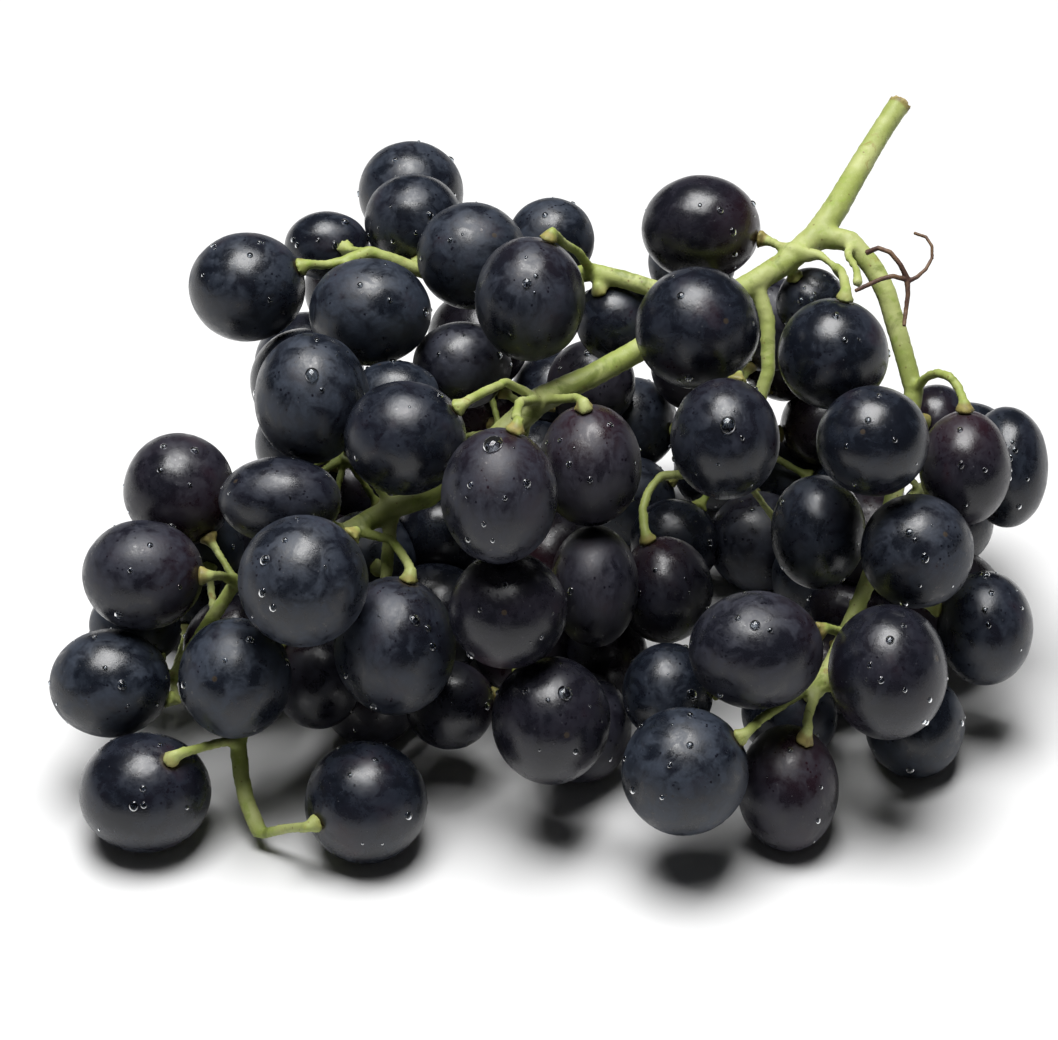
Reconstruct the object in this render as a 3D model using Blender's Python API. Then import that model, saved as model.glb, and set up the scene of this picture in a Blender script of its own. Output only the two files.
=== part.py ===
# A bunch of black grapes with green stems, lying as it rests on a table.
#
# The berries that can be seen are placed from one photograph: each row below gives where a berry
# stands in the picture, its half width and half height there, and how near the viewer it is. Each
# berry then slides along its own line of sight until it is clear of its neighbours and of the
# table, so the picture stays as it was. The stems that can be seen are placed the same way.
# The berries that can't be seen, low down and at the back, are grown by a rule as five clusters that
# are pressed together, and every berry gets a pedicel that finds its way round the others.
#
# Lengths are in millimetres until a mesh is made, and MM turns them into metres there.
# The viewer looks along +Y from above, +X is right and +Z is up.

import math
import random

import bmesh
import bpy
import numpy as np
from mathutils import Matrix, Vector

MM = 0.001

# The view that the picture was taken from
VIEW_TILT = math.radians(35.0)
VIEW_DISTANCE = 600.0
FOCAL_PIXELS = 3077.0
MIDDLE_X = 529.0
MIDDLE_Y = 520.0
MIDDLE_HEIGHT = 38.0

# Clearances
BERRY_GAP = 0.35
STEM_GAP = 0.45
RECEPTACLE_GAP = 0.30
TABLE_GAP = 0.8
PRESSED_FLAT = 0.60
CLUSTER_OVERLAP = 2.2

# Stems
STEM_STEP = 6.8
PEDICEL_RADIUS = 0.95
THIN_PEDICEL_RADIUS = 0.85
RECEPTACLE_RADIUS = 1.9
RECEPTACLE_LENGTH = 1.7
PEDICEL_LEANS = (0.0, 0.7, -0.6, 1.6)

# Hidden berries
HIDDEN_RADIUS_LEAST = 8.9
HIDDEN_RADIUS_MOST = 11.6
HIDDEN_STRETCH = 1.05
HIDDEN_ROOM_MIDDLE = (8.0, 10.0, 38.0)
HIDDEN_ROOM_HALF = (86.0, 60.0, 40.0)
HIDDEN_ROOM_POWER = 3.0

# What a place for a hidden berry is worth: the outer edge of the room, close packing, nearness to
# its cluster's start, and filling an open part of the picture
EDGE_WORTH = 1.6
PACKED_WORTH = 0.03
START_WORTH = 0.03
OPEN_WORTH = 10.0
GRID_STEP = 9

# Facets
BERRY_SIDES = 12
BERRY_RINGS = (12.0, 45.0, 78.0, 111.0, 146.0)
CLUSTER_SIDES = 10
CLUSTER_RINGS = (16.0, 56.0, 96.0, 138.0)

SEED = 11

# Berries that can be seen. Each row: x, y, half width, half height in pixels, near in millimetres,
# and where its stem end shows, as x, y and 1 for the near side or -1 for the far side.
# None leaves the stem end to the rule.
RESTING = ("30", "33", "48", "49")
BERRIES = {
    "01": (247, 287, 59, 55, -8, (303, 268, 1)),
    "02": (327, 246, 43, 35, -26, None),
    "03": (411, 193, 53, 52, -42, None),
    "04": (414, 222, 50, 49, -22, None),
    "05": (472, 256, 56, 54, -6, None),
    "06": (551, 240, 44, 43, -24, None),
    "07": (530, 299, 56, 63, 13, (548, 241, 1)),
    "08": (370, 312, 62, 54, 6, None),
    "09": (305, 382, 55, 55, -6, None),
    "10": (312, 398, 58, 66, 15, None),
    "11": (462, 365, 50, 44, -2, None),
    "12": (395, 395, 45, 35, 6, None),
    "13": (405, 438, 62, 58, 27, (460, 407, 1)),
    "14": (499, 496, 59, 69, 40, (515, 432, 1)),
    "15": (590, 465, 52, 62, 20, (585, 412, 1)),
    "16": (617, 321, 42, 42, -9, (600, 293, 1)),
    "17": (697, 328, 63, 62, 16, None),
    "18": (701, 228, 60, 53, -14, (760, 240, 1)),
    "19": (692, 262, 44, 44, -36, None),
    "20": (725, 439, 55, 62, 32, (738, 381, -1)),
    "21": (833, 354, 56, 56, 13, (843, 301, 1)),
    "22": (811, 303, 35, 36, -12, None),
    "23": (873, 441, 57, 56, 27, None),
    "24": (965, 468, 46, 58, 11, (963, 412, 1)),
    "25": (1007, 467, 41, 61, -10, None),
    "26": (936, 425, 38, 41, -14, None),
    "27": (917, 551, 57, 58, 22, None),
    "28": (985, 628, 48, 58, 5, None),
    "29": (888, 672, 60, 69, 32, None),
    "30": (915, 725, 50, 54, 9, None),
    "31": (818, 532, 48, 58, 8, None),
    "32": (756, 650, 68, 60, 35, (819, 632, -1)),
    "33": (788, 788, 51, 64, 24, (801, 738, 1)),
    "34": (685, 771, 64, 65, 37, (738, 736, 1)),
    "35": (665, 590, 48, 54, 6, (648, 541, 1)),
    "36": (594, 586, 45, 62, 16, None),
    "37": (508, 610, 60, 60, 26, None),
    "38": (551, 720, 60, 65, 20, None),
    "39": (582, 727, 50, 56, -2, None),
    "40": (395, 646, 62, 70, 28, (410, 577, 1)),
    "41": (450, 705, 45, 45, 12, None),
    "42": (303, 581, 66, 67, 40, (350, 535, -1)),
    "43": (280, 500, 62, 44, 17, None),
    "44": (179, 490, 56, 58, 2, None),
    "45": (143, 575, 61, 56, 19, (205, 575, 1)),
    "46": (110, 683, 61, 55, 23, (168, 700, -1)),
    "47": (235, 678, 57, 61, 29, None),
    "48": (145, 792, 67, 61, 28, (176, 757, 1)),
    "49": (366, 802, 62, 62, 28, (319, 820, 1)),
    "50": (318, 680, 45, 50, 16, None),
    "51": (205, 545, 40, 42, -4, None),
    "52": (135, 625, 46, 44, 0, None),
    "53": (668, 692, 46, 50, 17, None),
}

# The outer edge of the berries in the picture. No hidden berry may stand out past it.
OUTLINE = (
    (60, 690), (75, 640), (88, 610), (82, 565), (122, 520), (125, 470), (160, 433), (210, 440),
    (242, 470), (258, 440), (252, 370), (270, 342), (195, 315), (190, 265), (230, 232), (275, 238),
    (300, 215), (350, 215), (360, 175), (400, 140), (450, 150), (480, 200), (520, 205), (560, 197),
    (596, 230), (600, 280), (650, 290), (645, 225), (690, 175), (740, 185), (765, 240), (780, 268),
    (840, 270), (885, 320), (890, 388), (950, 388), (1010, 405), (1046, 450), (1040, 515),
    (985, 545), (1030, 600), (1030, 660), (985, 700), (960, 745), (925, 782), (850, 790),
    (835, 845), (790, 855), (745, 835), (690, 838), (640, 820), (625, 785), (560, 788), (490, 778),
    (430, 790), (415, 850), (360, 866), (310, 850), (300, 790), (215, 790), (205, 840), (140, 856),
    (80, 830), (75, 780), (110, 745), (55, 720),
)

# Small holes right through the bunch, which the hidden berries leave open
HOLES = ((640, 374), (780, 405))
HOLE_ROOM = 0.7

# Stems. Each row: x, y, near, radius and whether the point shows (1) or is hidden (0).
# A hidden point may move any way to clear the berries and a showing one only along its line of sight.
MAIN_STEM = (
    (900, 103, -25, 2.15, 1), (882, 130, -21, 2.1, 1), (855, 175, -12, 2.3, 1), (836, 208, -6, 2.5, 1),
    (817, 236, 0, 2.7, 1), (786, 262, 0, 2.3, 1), (755, 282, 0, 2.3, 1), (718, 306, -1, 2.3, 0),
    (682, 328, 3, 2.3, 0), (630, 355, 11, 2.2, 1), (590, 377, 17, 2.2, 1), (540, 400, 23, 2.5, 1),
    (500, 428, 19, 2.2, 0), (462, 462, 16, 2.1, 0), (428, 497, 17, 2.0, 1), (392, 508, 17, 2.0, 1),
    (352, 530, 15, 2.0, 1), (312, 590, 8, 1.9, 0), (270, 650, 6, 1.8, 0), (238, 742, 14, 1.6, 1),
    (241, 775, 18, 1.5, 1), (247, 802, 21, 1.5, 1), (260, 834, 24, 1.5, 1),
)
RIGHT_WING = (
    (817, 236, 0, 2.4, 0), (850, 241, 3, 2.1, 1), (872, 266, 7, 2.0, 1), (886, 292, 9, 1.95, 1),
    (900, 340, 9, 1.9, 1), (914, 392, 7, 1.85, 1), (922, 440, -4, 1.8, 0), (918, 500, -12, 1.7, 0),
    (905, 560, -12, 1.6, 0), (886, 612, -6, 1.6, 0), (862, 652, 2, 1.5, 0), (838, 672, 12, 1.45, 0),
    (822, 682, 18, 1.4, 1), (816, 692, 21, 1.35, 1),
)
UPPER_LEFT = (
    (700, 318, -6, 2.0, 0), (655, 289, -5, 1.8, 1), (622, 279, -3, 1.8, 1), (592, 272, -1, 1.8, 1),
    (560, 285, -10, 1.6, 0), (515, 305, -20, 1.6, 0), (450, 300, -26, 1.5, 0), (400, 275, -20, 1.4, 0),
    (370, 252, -14, 1.3, 1), (345, 261, -9, 1.3, 1),
)
BACK_LEFT = (
    (462, 462, 11, 2.0, 0), (420, 460, -10, 1.7, 0), (380, 450, -30, 1.6, 0), (330, 455, -42, 1.5, 0),
)
BACK_MIDDLE = (
    (540, 402, 23, 2.0, 0), (556, 425, -8, 1.8, 0), (540, 430, -38, 1.6, 0), (500, 430, -52, 1.5, 0),
)
BACK_RIGHT = (
    (718, 306, -3, 2.0, 0), (735, 345, -22, 1.7, 0), (750, 395, -38, 1.6, 0), (745, 440, -48, 1.5, 0),
)
FRONT_MIDDLE = (
    (500, 428, 19, 2.0, 0), (535, 500, 10, 1.8, 0), (555, 570, 6, 1.7, 0), (545, 640, 8, 1.6, 0),
    (520, 690, 8, 1.5, 0),
)
FRONT_LEFT = (
    (392, 508, 15, 1.4, 0), (400, 570, 12, 1.2, 0), (390, 640, 12, 1.2, 0), (375, 700, 10, 1.1, 0),
)
LEFT_WING = (
    (312, 590, 8, 1.8, 0), (262, 586, 6, 1.6, 0), (236, 582, 5, 1.4, 1), (214, 606, -2, 1.4, 0),
    (185, 640, 0, 1.4, 0), (172, 680, 6, 1.3, 0),
)
RIGHT_MIDDLE = (
    (755, 282, 0, 1.8, 0), (768, 322, -4, 1.5, 1), (768, 372, -4, 1.4, 1), (750, 430, -2, 1.3, 0),
    (738, 470, -2, 1.2, 0),
)
# Thin stems at the fork that have lost their berries
FORK_TWIG = (
    (836, 242, 5, 0.9, 1), (848, 256, 8, 0.8, 1), (856, 268, 10, 0.75, 1), (858, 284, 9, 0.95, 1),
)
LOW_TWIG = (
    (806, 246, 1, 0.9, 1), (822, 256, 3, 0.75, 1), (836, 268, 4, 0.7, 1), (846, 282, 6, 0.9, 1),
)
LATERALS = (
    RIGHT_WING,
    UPPER_LEFT,
    BACK_LEFT,
    BACK_MIDDLE,
    BACK_RIGHT,
    FRONT_MIDDLE,
    FRONT_LEFT,
    LEFT_WING,
    RIGHT_MIDDLE,
    FORK_TWIG,
    LOW_TWIG,
)

# Pedicels that show, as points from the stem to the berry: x, y, near
SHOWN_PEDICELS = {
    "01": ((345, 261, -9), (322, 265, -8)),
    "07": ((592, 272, -1), (578, 252, 3), (562, 242, 7)),
    "13": ((528, 392, 23), (506, 382, 25), (484, 392, 27)),
    "14": ((532, 395, 23), (520, 402, 29), (516, 416, 35)),
    "15": ((556, 396, 21), (576, 398, 24)),
    "16": ((600, 274, -2), (599, 284, -1)),
    "18": ((800, 250, 0), (780, 246, -5)),
    "21": ((838, 250, 3), (842, 272, 8)),
    "24": ((916, 385, 8), (926, 377, 9), (938, 373, 9), (950, 377, 10), (959, 388, 11), (963, 400, 11)),
    "32": ((862, 652, 2), (848, 634, 14)),
    "33": ((816, 692, 21), (808, 716, 26)),
    "34": ((822, 682, 18), (790, 700, 24), (762, 718, 33)),
    "35": ((674, 458, -6), (660, 476, -2), (648, 492, 3), (643, 508, 6), (644, 524, 8)),
    "40": ((372, 520, 15), (392, 540, 25), (406, 560, 36)),
    "45": ((238, 582, 5), (222, 576, 12)),
    "48": ((238, 742, 14), (222, 742, 25), (200, 748, 34)),
    "49": ((260, 834, 24), (290, 828, 28)),
}

# Where each cluster of hidden berries starts on the table, as x, y, and how many berries it has
CLUSTERS = {
    "cluster_low_front": (-14.0, -12.0, 17),
    "cluster_low_right": (70.0, 10.0, 10),
    "cluster_back_left": (-46.0, 40.0, 7),
    "cluster_back_middle": (0.0, 56.0, 7),
    "cluster_back_right": (46.0, 46.0, 7),
}

# The tendril and its branches: x, y, near, radius
TENDRILS = (
    (
        (866, 253, 12, 0.55), (878, 248, 13, 0.5), (890, 252, 14, 0.5), (900, 264, 14, 0.5),
        (907, 278, 13, 0.6), (908, 294, 13, 0.5), (906, 310, 13, 0.45), (904, 326, 14, 0.4),
    ),
    (
        (907, 282, 13, 0.5), (917, 277, 13, 0.4), (926, 269, 12, 0.36), (932, 258, 11, 0.34),
        (932, 246, 11, 0.32), (926, 237, 10, 0.32), (914, 233, 9, 0.32),
    ),
    (
        (907, 280, 13, 0.5), (893, 276, 14, 0.5), (881, 279, 14, 0.45), (868, 285, 14, 0.45),
        (855, 291, 14, 0.4),
    ),
)
TENDRIL_STEP = 2.4

BERRY_COLOUR = (0.045, 0.052, 0.085, 1.0)
STEM_COLOUR = (0.42, 0.47, 0.16, 1.0)
TENDRIL_COLOUR = (0.16, 0.09, 0.05, 1.0)

RIGHT = np.array((1.0, 0.0, 0.0))
UPWARD = np.array((0.0, math.sin(VIEW_TILT), math.cos(VIEW_TILT)))
TOWARD = np.array((0.0, -math.cos(VIEW_TILT), math.sin(VIEW_TILT)))
MIDDLE = np.array((0.0, 0.0, MIDDLE_HEIGHT))
VIEWER = MIDDLE + TOWARD * VIEW_DISTANCE


def scale_at(near):
    """Millimetres that one pixel covers at this distance."""
    return (VIEW_DISTANCE - near) / FOCAL_PIXELS


def place(x, y, near):
    """The point in space behind a pixel."""
    scale = scale_at(near)
    across = (x - MIDDLE_X) * scale
    up = (MIDDLE_Y - y) * scale
    return MIDDLE + RIGHT * across + UPWARD * up + TOWARD * near


def sight(point):
    """The direction from a point to the viewer."""
    line = VIEWER - point
    return line / np.linalg.norm(line)


def pixel(points):
    """Where points show in the picture, and how near they are."""
    rel = np.asarray(points) - MIDDLE
    near = rel @ TOWARD
    scale = (VIEW_DISTANCE - near) / FOCAL_PIXELS
    return MIDDLE_X + rel @ RIGHT / scale, MIDDLE_Y - rel @ UPWARD / scale, near


def view_frame():
    return np.column_stack((RIGHT, UPWARD, TOWARD))


def berry_shape(row, near, shrink):
    """The matrix that makes a unit ball into the berry."""
    scale = scale_at(near) * shrink
    wide = row[2] * scale
    high = row[3] * scale
    deep = 0.5 * (wide + high)
    return view_frame() @ np.diag((wide, high, deep))


def reach(shape, direction):
    """How far a berry reaches from its middle in a direction."""
    return np.linalg.norm(shape.T @ direction)


def settle_berries():
    """Slides each berry along its line of sight until all are clear, and lets a few shrink a little."""
    names = list(BERRIES)
    near = np.array([float(BERRIES[name][4]) for name in names])
    shrink = np.full(len(names), 0.99)
    rests = np.array([name in RESTING for name in names])
    for step in range(900):
        middles = np.array([place(BERRIES[n][0], BERRIES[n][1], near[i]) for i, n in enumerate(names)])
        shapes = np.array([berry_shape(BERRIES[n], near[i], shrink[i]) for i, n in enumerate(names)])
        lines = VIEWER - middles
        lines /= np.linalg.norm(lines, axis=1)[:, None]
        between = middles[:, None, :] - middles[None, :, :]
        far = np.linalg.norm(between, axis=2) + np.eye(len(names))
        unit = between / far[:, :, None]
        reaches = np.linalg.norm(np.einsum("iab,ija->ijb", shapes, unit), axis=2)
        gaps = far - reaches - reaches.T
        np.fill_diagonal(gaps, 99.0)
        short = np.clip(BERRY_GAP - gaps, 0.0, None)
        slope = np.einsum("ia,ija->ij", lines, unit)
        weight = np.where(rests, 0.0, 1.0)
        total = slope**2 * weight[:, None] + slope.T**2 * weight[None, :]
        share = slope * weight[:, None] / np.clip(total, 0.12, None)
        near = near + 0.5 * np.clip((short * share).sum(axis=1), -1.5, 1.5)
        down = np.linalg.norm(shapes[:, 2, :], axis=1)
        low = middles[:, 2] - down
        lift = np.where(rests, -PRESSED_FLAT - low, np.clip(TABLE_GAP - low, 0.0, None))
        near = near + lift / math.sin(VIEW_TILT) * 0.7
        if step > 500:
            shrink = shrink - np.clip(0.01 * short.max(axis=1), 0.0, 0.002)
            shrink = np.clip(shrink, 0.90, 1.0)
    return names, middles, shapes


class Berries:
    """All the berries so far, with the tests for what is clear of them."""

    def __init__(self, names, middles, shapes):
        self.names = list(names)
        self.middles = np.array(middles)
        self.shapes = np.array(shapes)
        self.turned = np.linalg.inv(self.shapes)

    def add(self, name, middle, shape):
        self.names.append(name)
        self.middles = np.vstack((self.middles, middle[None]))
        self.shapes = np.concatenate((self.shapes, shape[None]))
        self.turned = np.linalg.inv(self.shapes)

    def distance(self, points):
        """Distance of points from each berry's skin, and the way out of it."""
        rel = points[:, None, :] - self.middles[None, :, :]
        inside = np.linalg.norm(np.einsum("nab,pnb->pna", self.turned, rel), axis=2)
        length = np.linalg.norm(rel, axis=2)
        out = rel / np.clip(length, 1e-6, None)[:, :, None]
        return length * (1.0 - 1.0 / np.clip(inside, 1e-6, None)), out


def relax_path(berries, points, radii, ways, steps, own=None, smooth=0.2):
    """Pushes a stem's points clear of the berries. A way of 0 holds a point, 1 lets it move along
    its line of sight only, and 2 lets it move freely."""
    points = points.copy()
    own_count = 0 if own is None else 2
    for step in range(steps):
        halves = 0.5 * (points[:-1] + points[1:])
        tests = np.vstack((points, halves))
        widths = np.concatenate((radii, np.maximum(radii[:-1], radii[1:])))
        gaps, out = berries.distance(tests)
        need = widths[:, None] + STEM_GAP - gaps
        if own is not None:
            held = list(range(len(points) - own_count, len(points)))
            held += list(range(2 * len(points) - 1 - own_count, 2 * len(points) - 1))
            need[held, own] = 0.0
        need = np.clip(need, 0.0, 4.0)
        push = (need[:, :, None] * out).sum(axis=1)
        move = push[: len(points)].copy()
        move[:-1] += push[len(points) :] * 0.5
        move[1:] += push[len(points) :] * 0.5
        pull = np.zeros_like(points)
        pull[1:-1] = smooth * (0.5 * (points[:-2] + points[2:]) - points[1:-1])
        move = 0.5 * move + pull * (1.0 if step < steps * 0.7 else 0.3)
        for index, way in enumerate(ways):
            if way == 0:
                move[index] = 0.0
            elif way == 1:
                line = sight(points[index])
                move[index] = line * (move[index] @ line)
        length = np.linalg.norm(move, axis=1)
        move *= np.minimum(1.0, 1.5 / np.clip(length, 1e-6, None))[:, None]
        points = points + move
    return points


def path_clearance(berries, points, radii, own=None):
    """The least distance between a stem's skin and any berry."""
    parts = np.linspace(0.0, 1.0, 7)[:, None, None]
    dense = (points[None, :-1] * (1.0 - parts) + points[None, 1:] * parts).reshape(-1, 3)
    widths = (radii[None, :-1] * (1.0 - parts[:, :, 0]) + radii[None, 1:] * parts[:, :, 0]).reshape(-1)
    gaps, _ = berries.distance(dense)
    gaps = gaps - widths[:, None]
    if own is not None:
        gaps[:, own] = 99.0
    return gaps.min()


def curve(rows, step):
    """Smooth points through hand-placed ones, about a step apart, with radius and way."""
    spots = np.array([place(x, y, near) for x, y, near, _, _ in rows])
    radii = np.array([row[3] for row in rows])
    shows = np.array([row[4] for row in rows])
    points = []
    widths = []
    ways = []
    for i in range(len(spots) - 1):
        before = spots[max(i - 1, 0)]
        first = spots[i]
        second = spots[i + 1]
        after = spots[min(i + 2, len(spots) - 1)]
        count = max(1, int(round(np.linalg.norm(second - first) / step)))
        for k in range(count):
            t = k / count
            point = 0.5 * (
                2 * first
                + (second - before) * t
                + (2 * before - 5 * first + 4 * second - after) * t * t
                + (3 * first - before - 3 * second + after) * t**3
            )
            points.append(point)
            widths.append(radii[i] * (1 - t) + radii[i + 1] * t)
            ways.append(1 if shows[i] and shows[i + 1] or (k == 0 and shows[i]) else 2)
    points.append(spots[-1])
    widths.append(radii[-1])
    ways.append(1 if shows[-1] else 2)
    return np.array(points), np.array(widths), ways


def build_stems(berries):
    """The main stem and its laterals, each a list of points and radii."""
    stems = []
    points, radii, ways = curve(MAIN_STEM, STEM_STEP)
    points = relax_path(berries, points, radii, ways, 250)
    stems.append((points, radii))
    for rows in LATERALS:
        points, radii, ways = curve(rows, STEM_STEP)
        known = np.vstack([stem[0] for stem in stems])
        points[0] = known[np.argmin(np.linalg.norm(known - points[0], axis=1))]
        ways[0] = 0
        points = relax_path(berries, points, radii, ways, 250)
        stems.append((points, radii))
    return stems


def inside_outline(x, y):
    """Whether a pixel lies inside the bunch's outline."""
    inside = False
    last = len(OUTLINE) - 1
    for i, (ax, ay) in enumerate(OUTLINE):
        bx, by = OUTLINE[last]
        if (ay > y) != (by > y) and x < (bx - ax) * (y - ay) / (by - ay) + ax:
            inside = not inside
        last = i
    return inside


def hidden_shape(rng, radius, middle):
    """A slightly long berry whose long axis points at the middle of the bunch."""
    axis = np.array(HIDDEN_ROOM_MIDDLE) - middle
    axis = axis / np.linalg.norm(axis)
    side = np.cross(axis, (0.3, 0.2, 1.0))
    side = side / np.linalg.norm(side)
    third = np.cross(axis, side)
    return np.column_stack((side, third, axis)) @ np.diag((radius, radius, radius * HIDDEN_STRETCH))


def room_value(middle):
    """Under 1 inside the room that the hidden berries fill, and near 1 at its edge."""
    rel = np.abs(middle - np.array(HIDDEN_ROOM_MIDDLE)) / np.array(HIDDEN_ROOM_HALF)
    return (rel**HIDDEN_ROOM_POWER).sum()


def stays_hidden(middle, radius, seen):
    """Whether a hidden berry keeps inside the outline and behind the berries that show."""
    x, y, near = pixel(middle)
    size = radius / scale_at(near)
    for k in range(12):
        angle = math.tau * k / 12
        if not inside_outline(x + size * math.cos(angle), y + size * math.sin(angle)):
            return False
    for hole in HOLES:
        start = place(hole[0], hole[1], 0.0)
        line = sight(start)
        rel = middle - start
        if np.linalg.norm(rel - line * (rel @ line)) < radius + HOLE_ROOM:
            return False
    xs, ys, nears, sizes = seen
    overlap = np.hypot(xs - x, ys - y) < 0.9 * (sizes + size)
    return bool((near < nears[overlap] - 3.0).all())


class Picture:
    """The bunch's outline as a grid of picture cells, with those that a berry covers marked."""

    def __init__(self, berries):
        xs, ys = np.meshgrid(np.arange(0, 1060, GRID_STEP), np.arange(100, 900, GRID_STEP))
        self.cells = np.column_stack((xs.ravel(), ys.ravel())).astype(float)
        inside = [inside_outline(x, y) for x, y in self.cells]
        self.cells = self.cells[np.array(inside)]
        self.open = np.ones(len(self.cells), bool)
        for middle, shape in zip(berries.middles, berries.shapes):
            self.cover(middle, np.linalg.norm(shape) / math.sqrt(3.0))

    def under(self, middle, radius):
        x, y, near = pixel(middle)
        size = radius / scale_at(near)
        return np.hypot(self.cells[:, 0] - x, self.cells[:, 1] - y) < size

    def gain(self, middle, radius):
        """The share of a berry's disc that would fill an open part of the picture."""
        under = self.under(middle, radius)
        return (under & self.open).sum() / max(1, under.sum())

    def cover(self, middle, radius):
        self.open &= ~self.under(middle, radius)


def clear_of_stems(middle, radius, stems):
    for points, radii in stems:
        halves = 0.5 * (points[:-1] + points[1:])
        far = np.linalg.norm(points - middle, axis=1) - radii
        far_half = np.linalg.norm(halves - middle, axis=1) - radii[1:]
        if min(far.min(), far_half.min()) < radius + STEM_GAP + 0.6:
            return False
    return True


def grow_clusters(berries, stems, showing, rng):
    """Adds the hidden berries, each cluster grown from a first berry that rests on the table."""
    xs, ys, nears = pixel(berries.middles)
    sizes = np.array([BERRIES[name][2] + BERRIES[name][3] for name in berries.names]) * 0.5
    for points, radii in showing:
        x, y, near = pixel(points)
        xs = np.concatenate((xs, x))
        ys = np.concatenate((ys, y))
        nears = np.concatenate((nears, near))
        sizes = np.concatenate((sizes, radii / scale_at(near)))
    seen = (xs, ys, nears, sizes)
    members = {name: [] for name in CLUSTERS}
    picture = Picture(berries)
    order = []
    for turn in range(max(row[2] for row in CLUSTERS.values())):
        order += [name for name, row in CLUSTERS.items() if turn < row[2]]
    for name in order:
        start = np.array(CLUSTERS[name][:2])
        count = CLUSTERS[name][2]
        own = members[name]
        best = None
        for attempt in range(2600):
            radius = rng.uniform(HIDDEN_RADIUS_LEAST, HIDDEN_RADIUS_MOST)
            if not own:
                spot = start + np.array((rng.uniform(-22, 22), rng.uniform(-22, 22)))
                middle = np.array((spot[0], spot[1], radius * 1.01 - PRESSED_FLAT))
            else:
                base = rng.choice(own)
                turn = rng.uniform(0, math.tau)
                rise = rng.uniform(-0.9, 1.0)
                flat = math.sqrt(1 - rise * rise)
                way = np.array((flat * math.cos(turn), flat * math.sin(turn), rise))
                guess = berries.middles[base] + way * 22.0
                shape = hidden_shape(rng, radius, guess)
                span = reach(shape, way) + reach(berries.shapes[base], way) - CLUSTER_OVERLAP
                middle = berries.middles[base] + way * span
            value = room_value(middle)
            if value > 1.0:
                continue
            shape = hidden_shape(rng, radius, middle)
            low = middle[2] - np.linalg.norm(shape[2])
            if own and low < TABLE_GAP:
                continue
            if not own:
                middle[2] -= low + PRESSED_FLAT
            between = middle - berries.middles
            far = np.linalg.norm(between, axis=1)
            near_ones = np.where(far < 40.0)[0]
            gaps = []
            fits = True
            for other in near_ones:
                unit = between[other] / far[other]
                gap = far[other] - reach(shape, unit) - reach(berries.shapes[other], unit)
                least = -CLUSTER_OVERLAP - 1.5 if other in own else BERRY_GAP
                if gap < least:
                    fits = False
                    break
                gaps.append(gap)
            if not fits:
                continue
            if not clear_of_stems(middle, radius, stems + showing):
                continue
            if not stays_hidden(middle, radius, seen):
                continue
            gaps.sort()
            packed = sum(gaps[:4]) + 8.0 * max(0, 4 - len(gaps))
            score = EDGE_WORTH * value - PACKED_WORTH * packed
            aside = np.linalg.norm((middle[:2] - start) / (1.0, 1.6))
            score -= START_WORTH * aside / math.sqrt(count / 7)
            score += OPEN_WORTH * picture.gain(middle, radius)
            if best is None or score > best[0]:
                best = (score, middle, shape)
        if best is None:
            continue
        own.append(len(berries.names))
        picture.cover(best[1], np.linalg.norm(best[2]) / math.sqrt(3.0))
        berries.add(f"{name}.{len(own)}", best[1], best[2])
    return {name: own for name, own in members.items() if own}


def stem_end(berries, index, direction):
    """The point on a berry's skin in a direction from its middle, and the way out of the skin there."""
    inner = berries.turned[index] @ direction
    point = berries.shapes[index] @ (inner / np.linalg.norm(inner))
    normal = berries.turned[index].T @ (inner / np.linalg.norm(inner))
    return berries.middles[index] + point, normal / np.linalg.norm(normal)


def shown_stem_end(berries, index, row):
    """The stem end that shows in the picture, as a direction from the berry's middle."""
    across = (row[5][0] - row[0]) / row[2]
    up = (row[1] - row[5][1]) / row[3]
    size = math.hypot(across, up)
    if size > 0.97:
        across *= 0.97 / size
        up *= 0.97 / size
        size = 0.97
    toward = row[5][2] * math.sqrt(1.0 - size * size)
    return berries.shapes[index] @ np.array((across, up, toward))


def pedicel_points(berries, index, root, direction, between):
    """Points from the stem to the berry's receptacle."""
    tip, normal = stem_end(berries, index, direction)
    tip = tip + normal * RECEPTACLE_GAP
    neck = tip + normal * RECEPTACLE_LENGTH
    return np.array([root] + [np.array(spot) for spot in between] + [neck, tip])


def pedicel_radii(count, thick):
    radii = np.full(count, thick)
    radii[0] = thick * 1.15
    radii[-1] = RECEPTACLE_RADIUS
    radii[-2] = thick * 1.05
    return radii


def shown_pedicels(berries, stems):
    """The pedicels that show in the picture, from hand-placed points."""
    roots = np.vstack([points for points, _ in stems])
    pedicels = []
    ends = {}
    for name, hand in SHOWN_PEDICELS.items():
        index = berries.names.index(name)
        row = BERRIES[name]
        spots = [place(*spot) for spot in hand]
        near_root = np.argmin(np.linalg.norm(roots - spots[0], axis=1))
        direction = shown_stem_end(berries, index, row)
        points = pedicel_points(berries, index, roots[near_root], direction, spots[1:])
        radii = pedicel_radii(len(points), PEDICEL_RADIUS)
        ways = [0] + [1] * len(spots[1:]) + [0, 0]
        points = relax_path(berries, points, radii, ways, 120, own=index, smooth=0.05)
        clear = path_clearance(berries, points, radii, own=index)
        pedicels.append((clear, name, points, radii))
        ends[index] = direction
    return pedicels, ends


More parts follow.
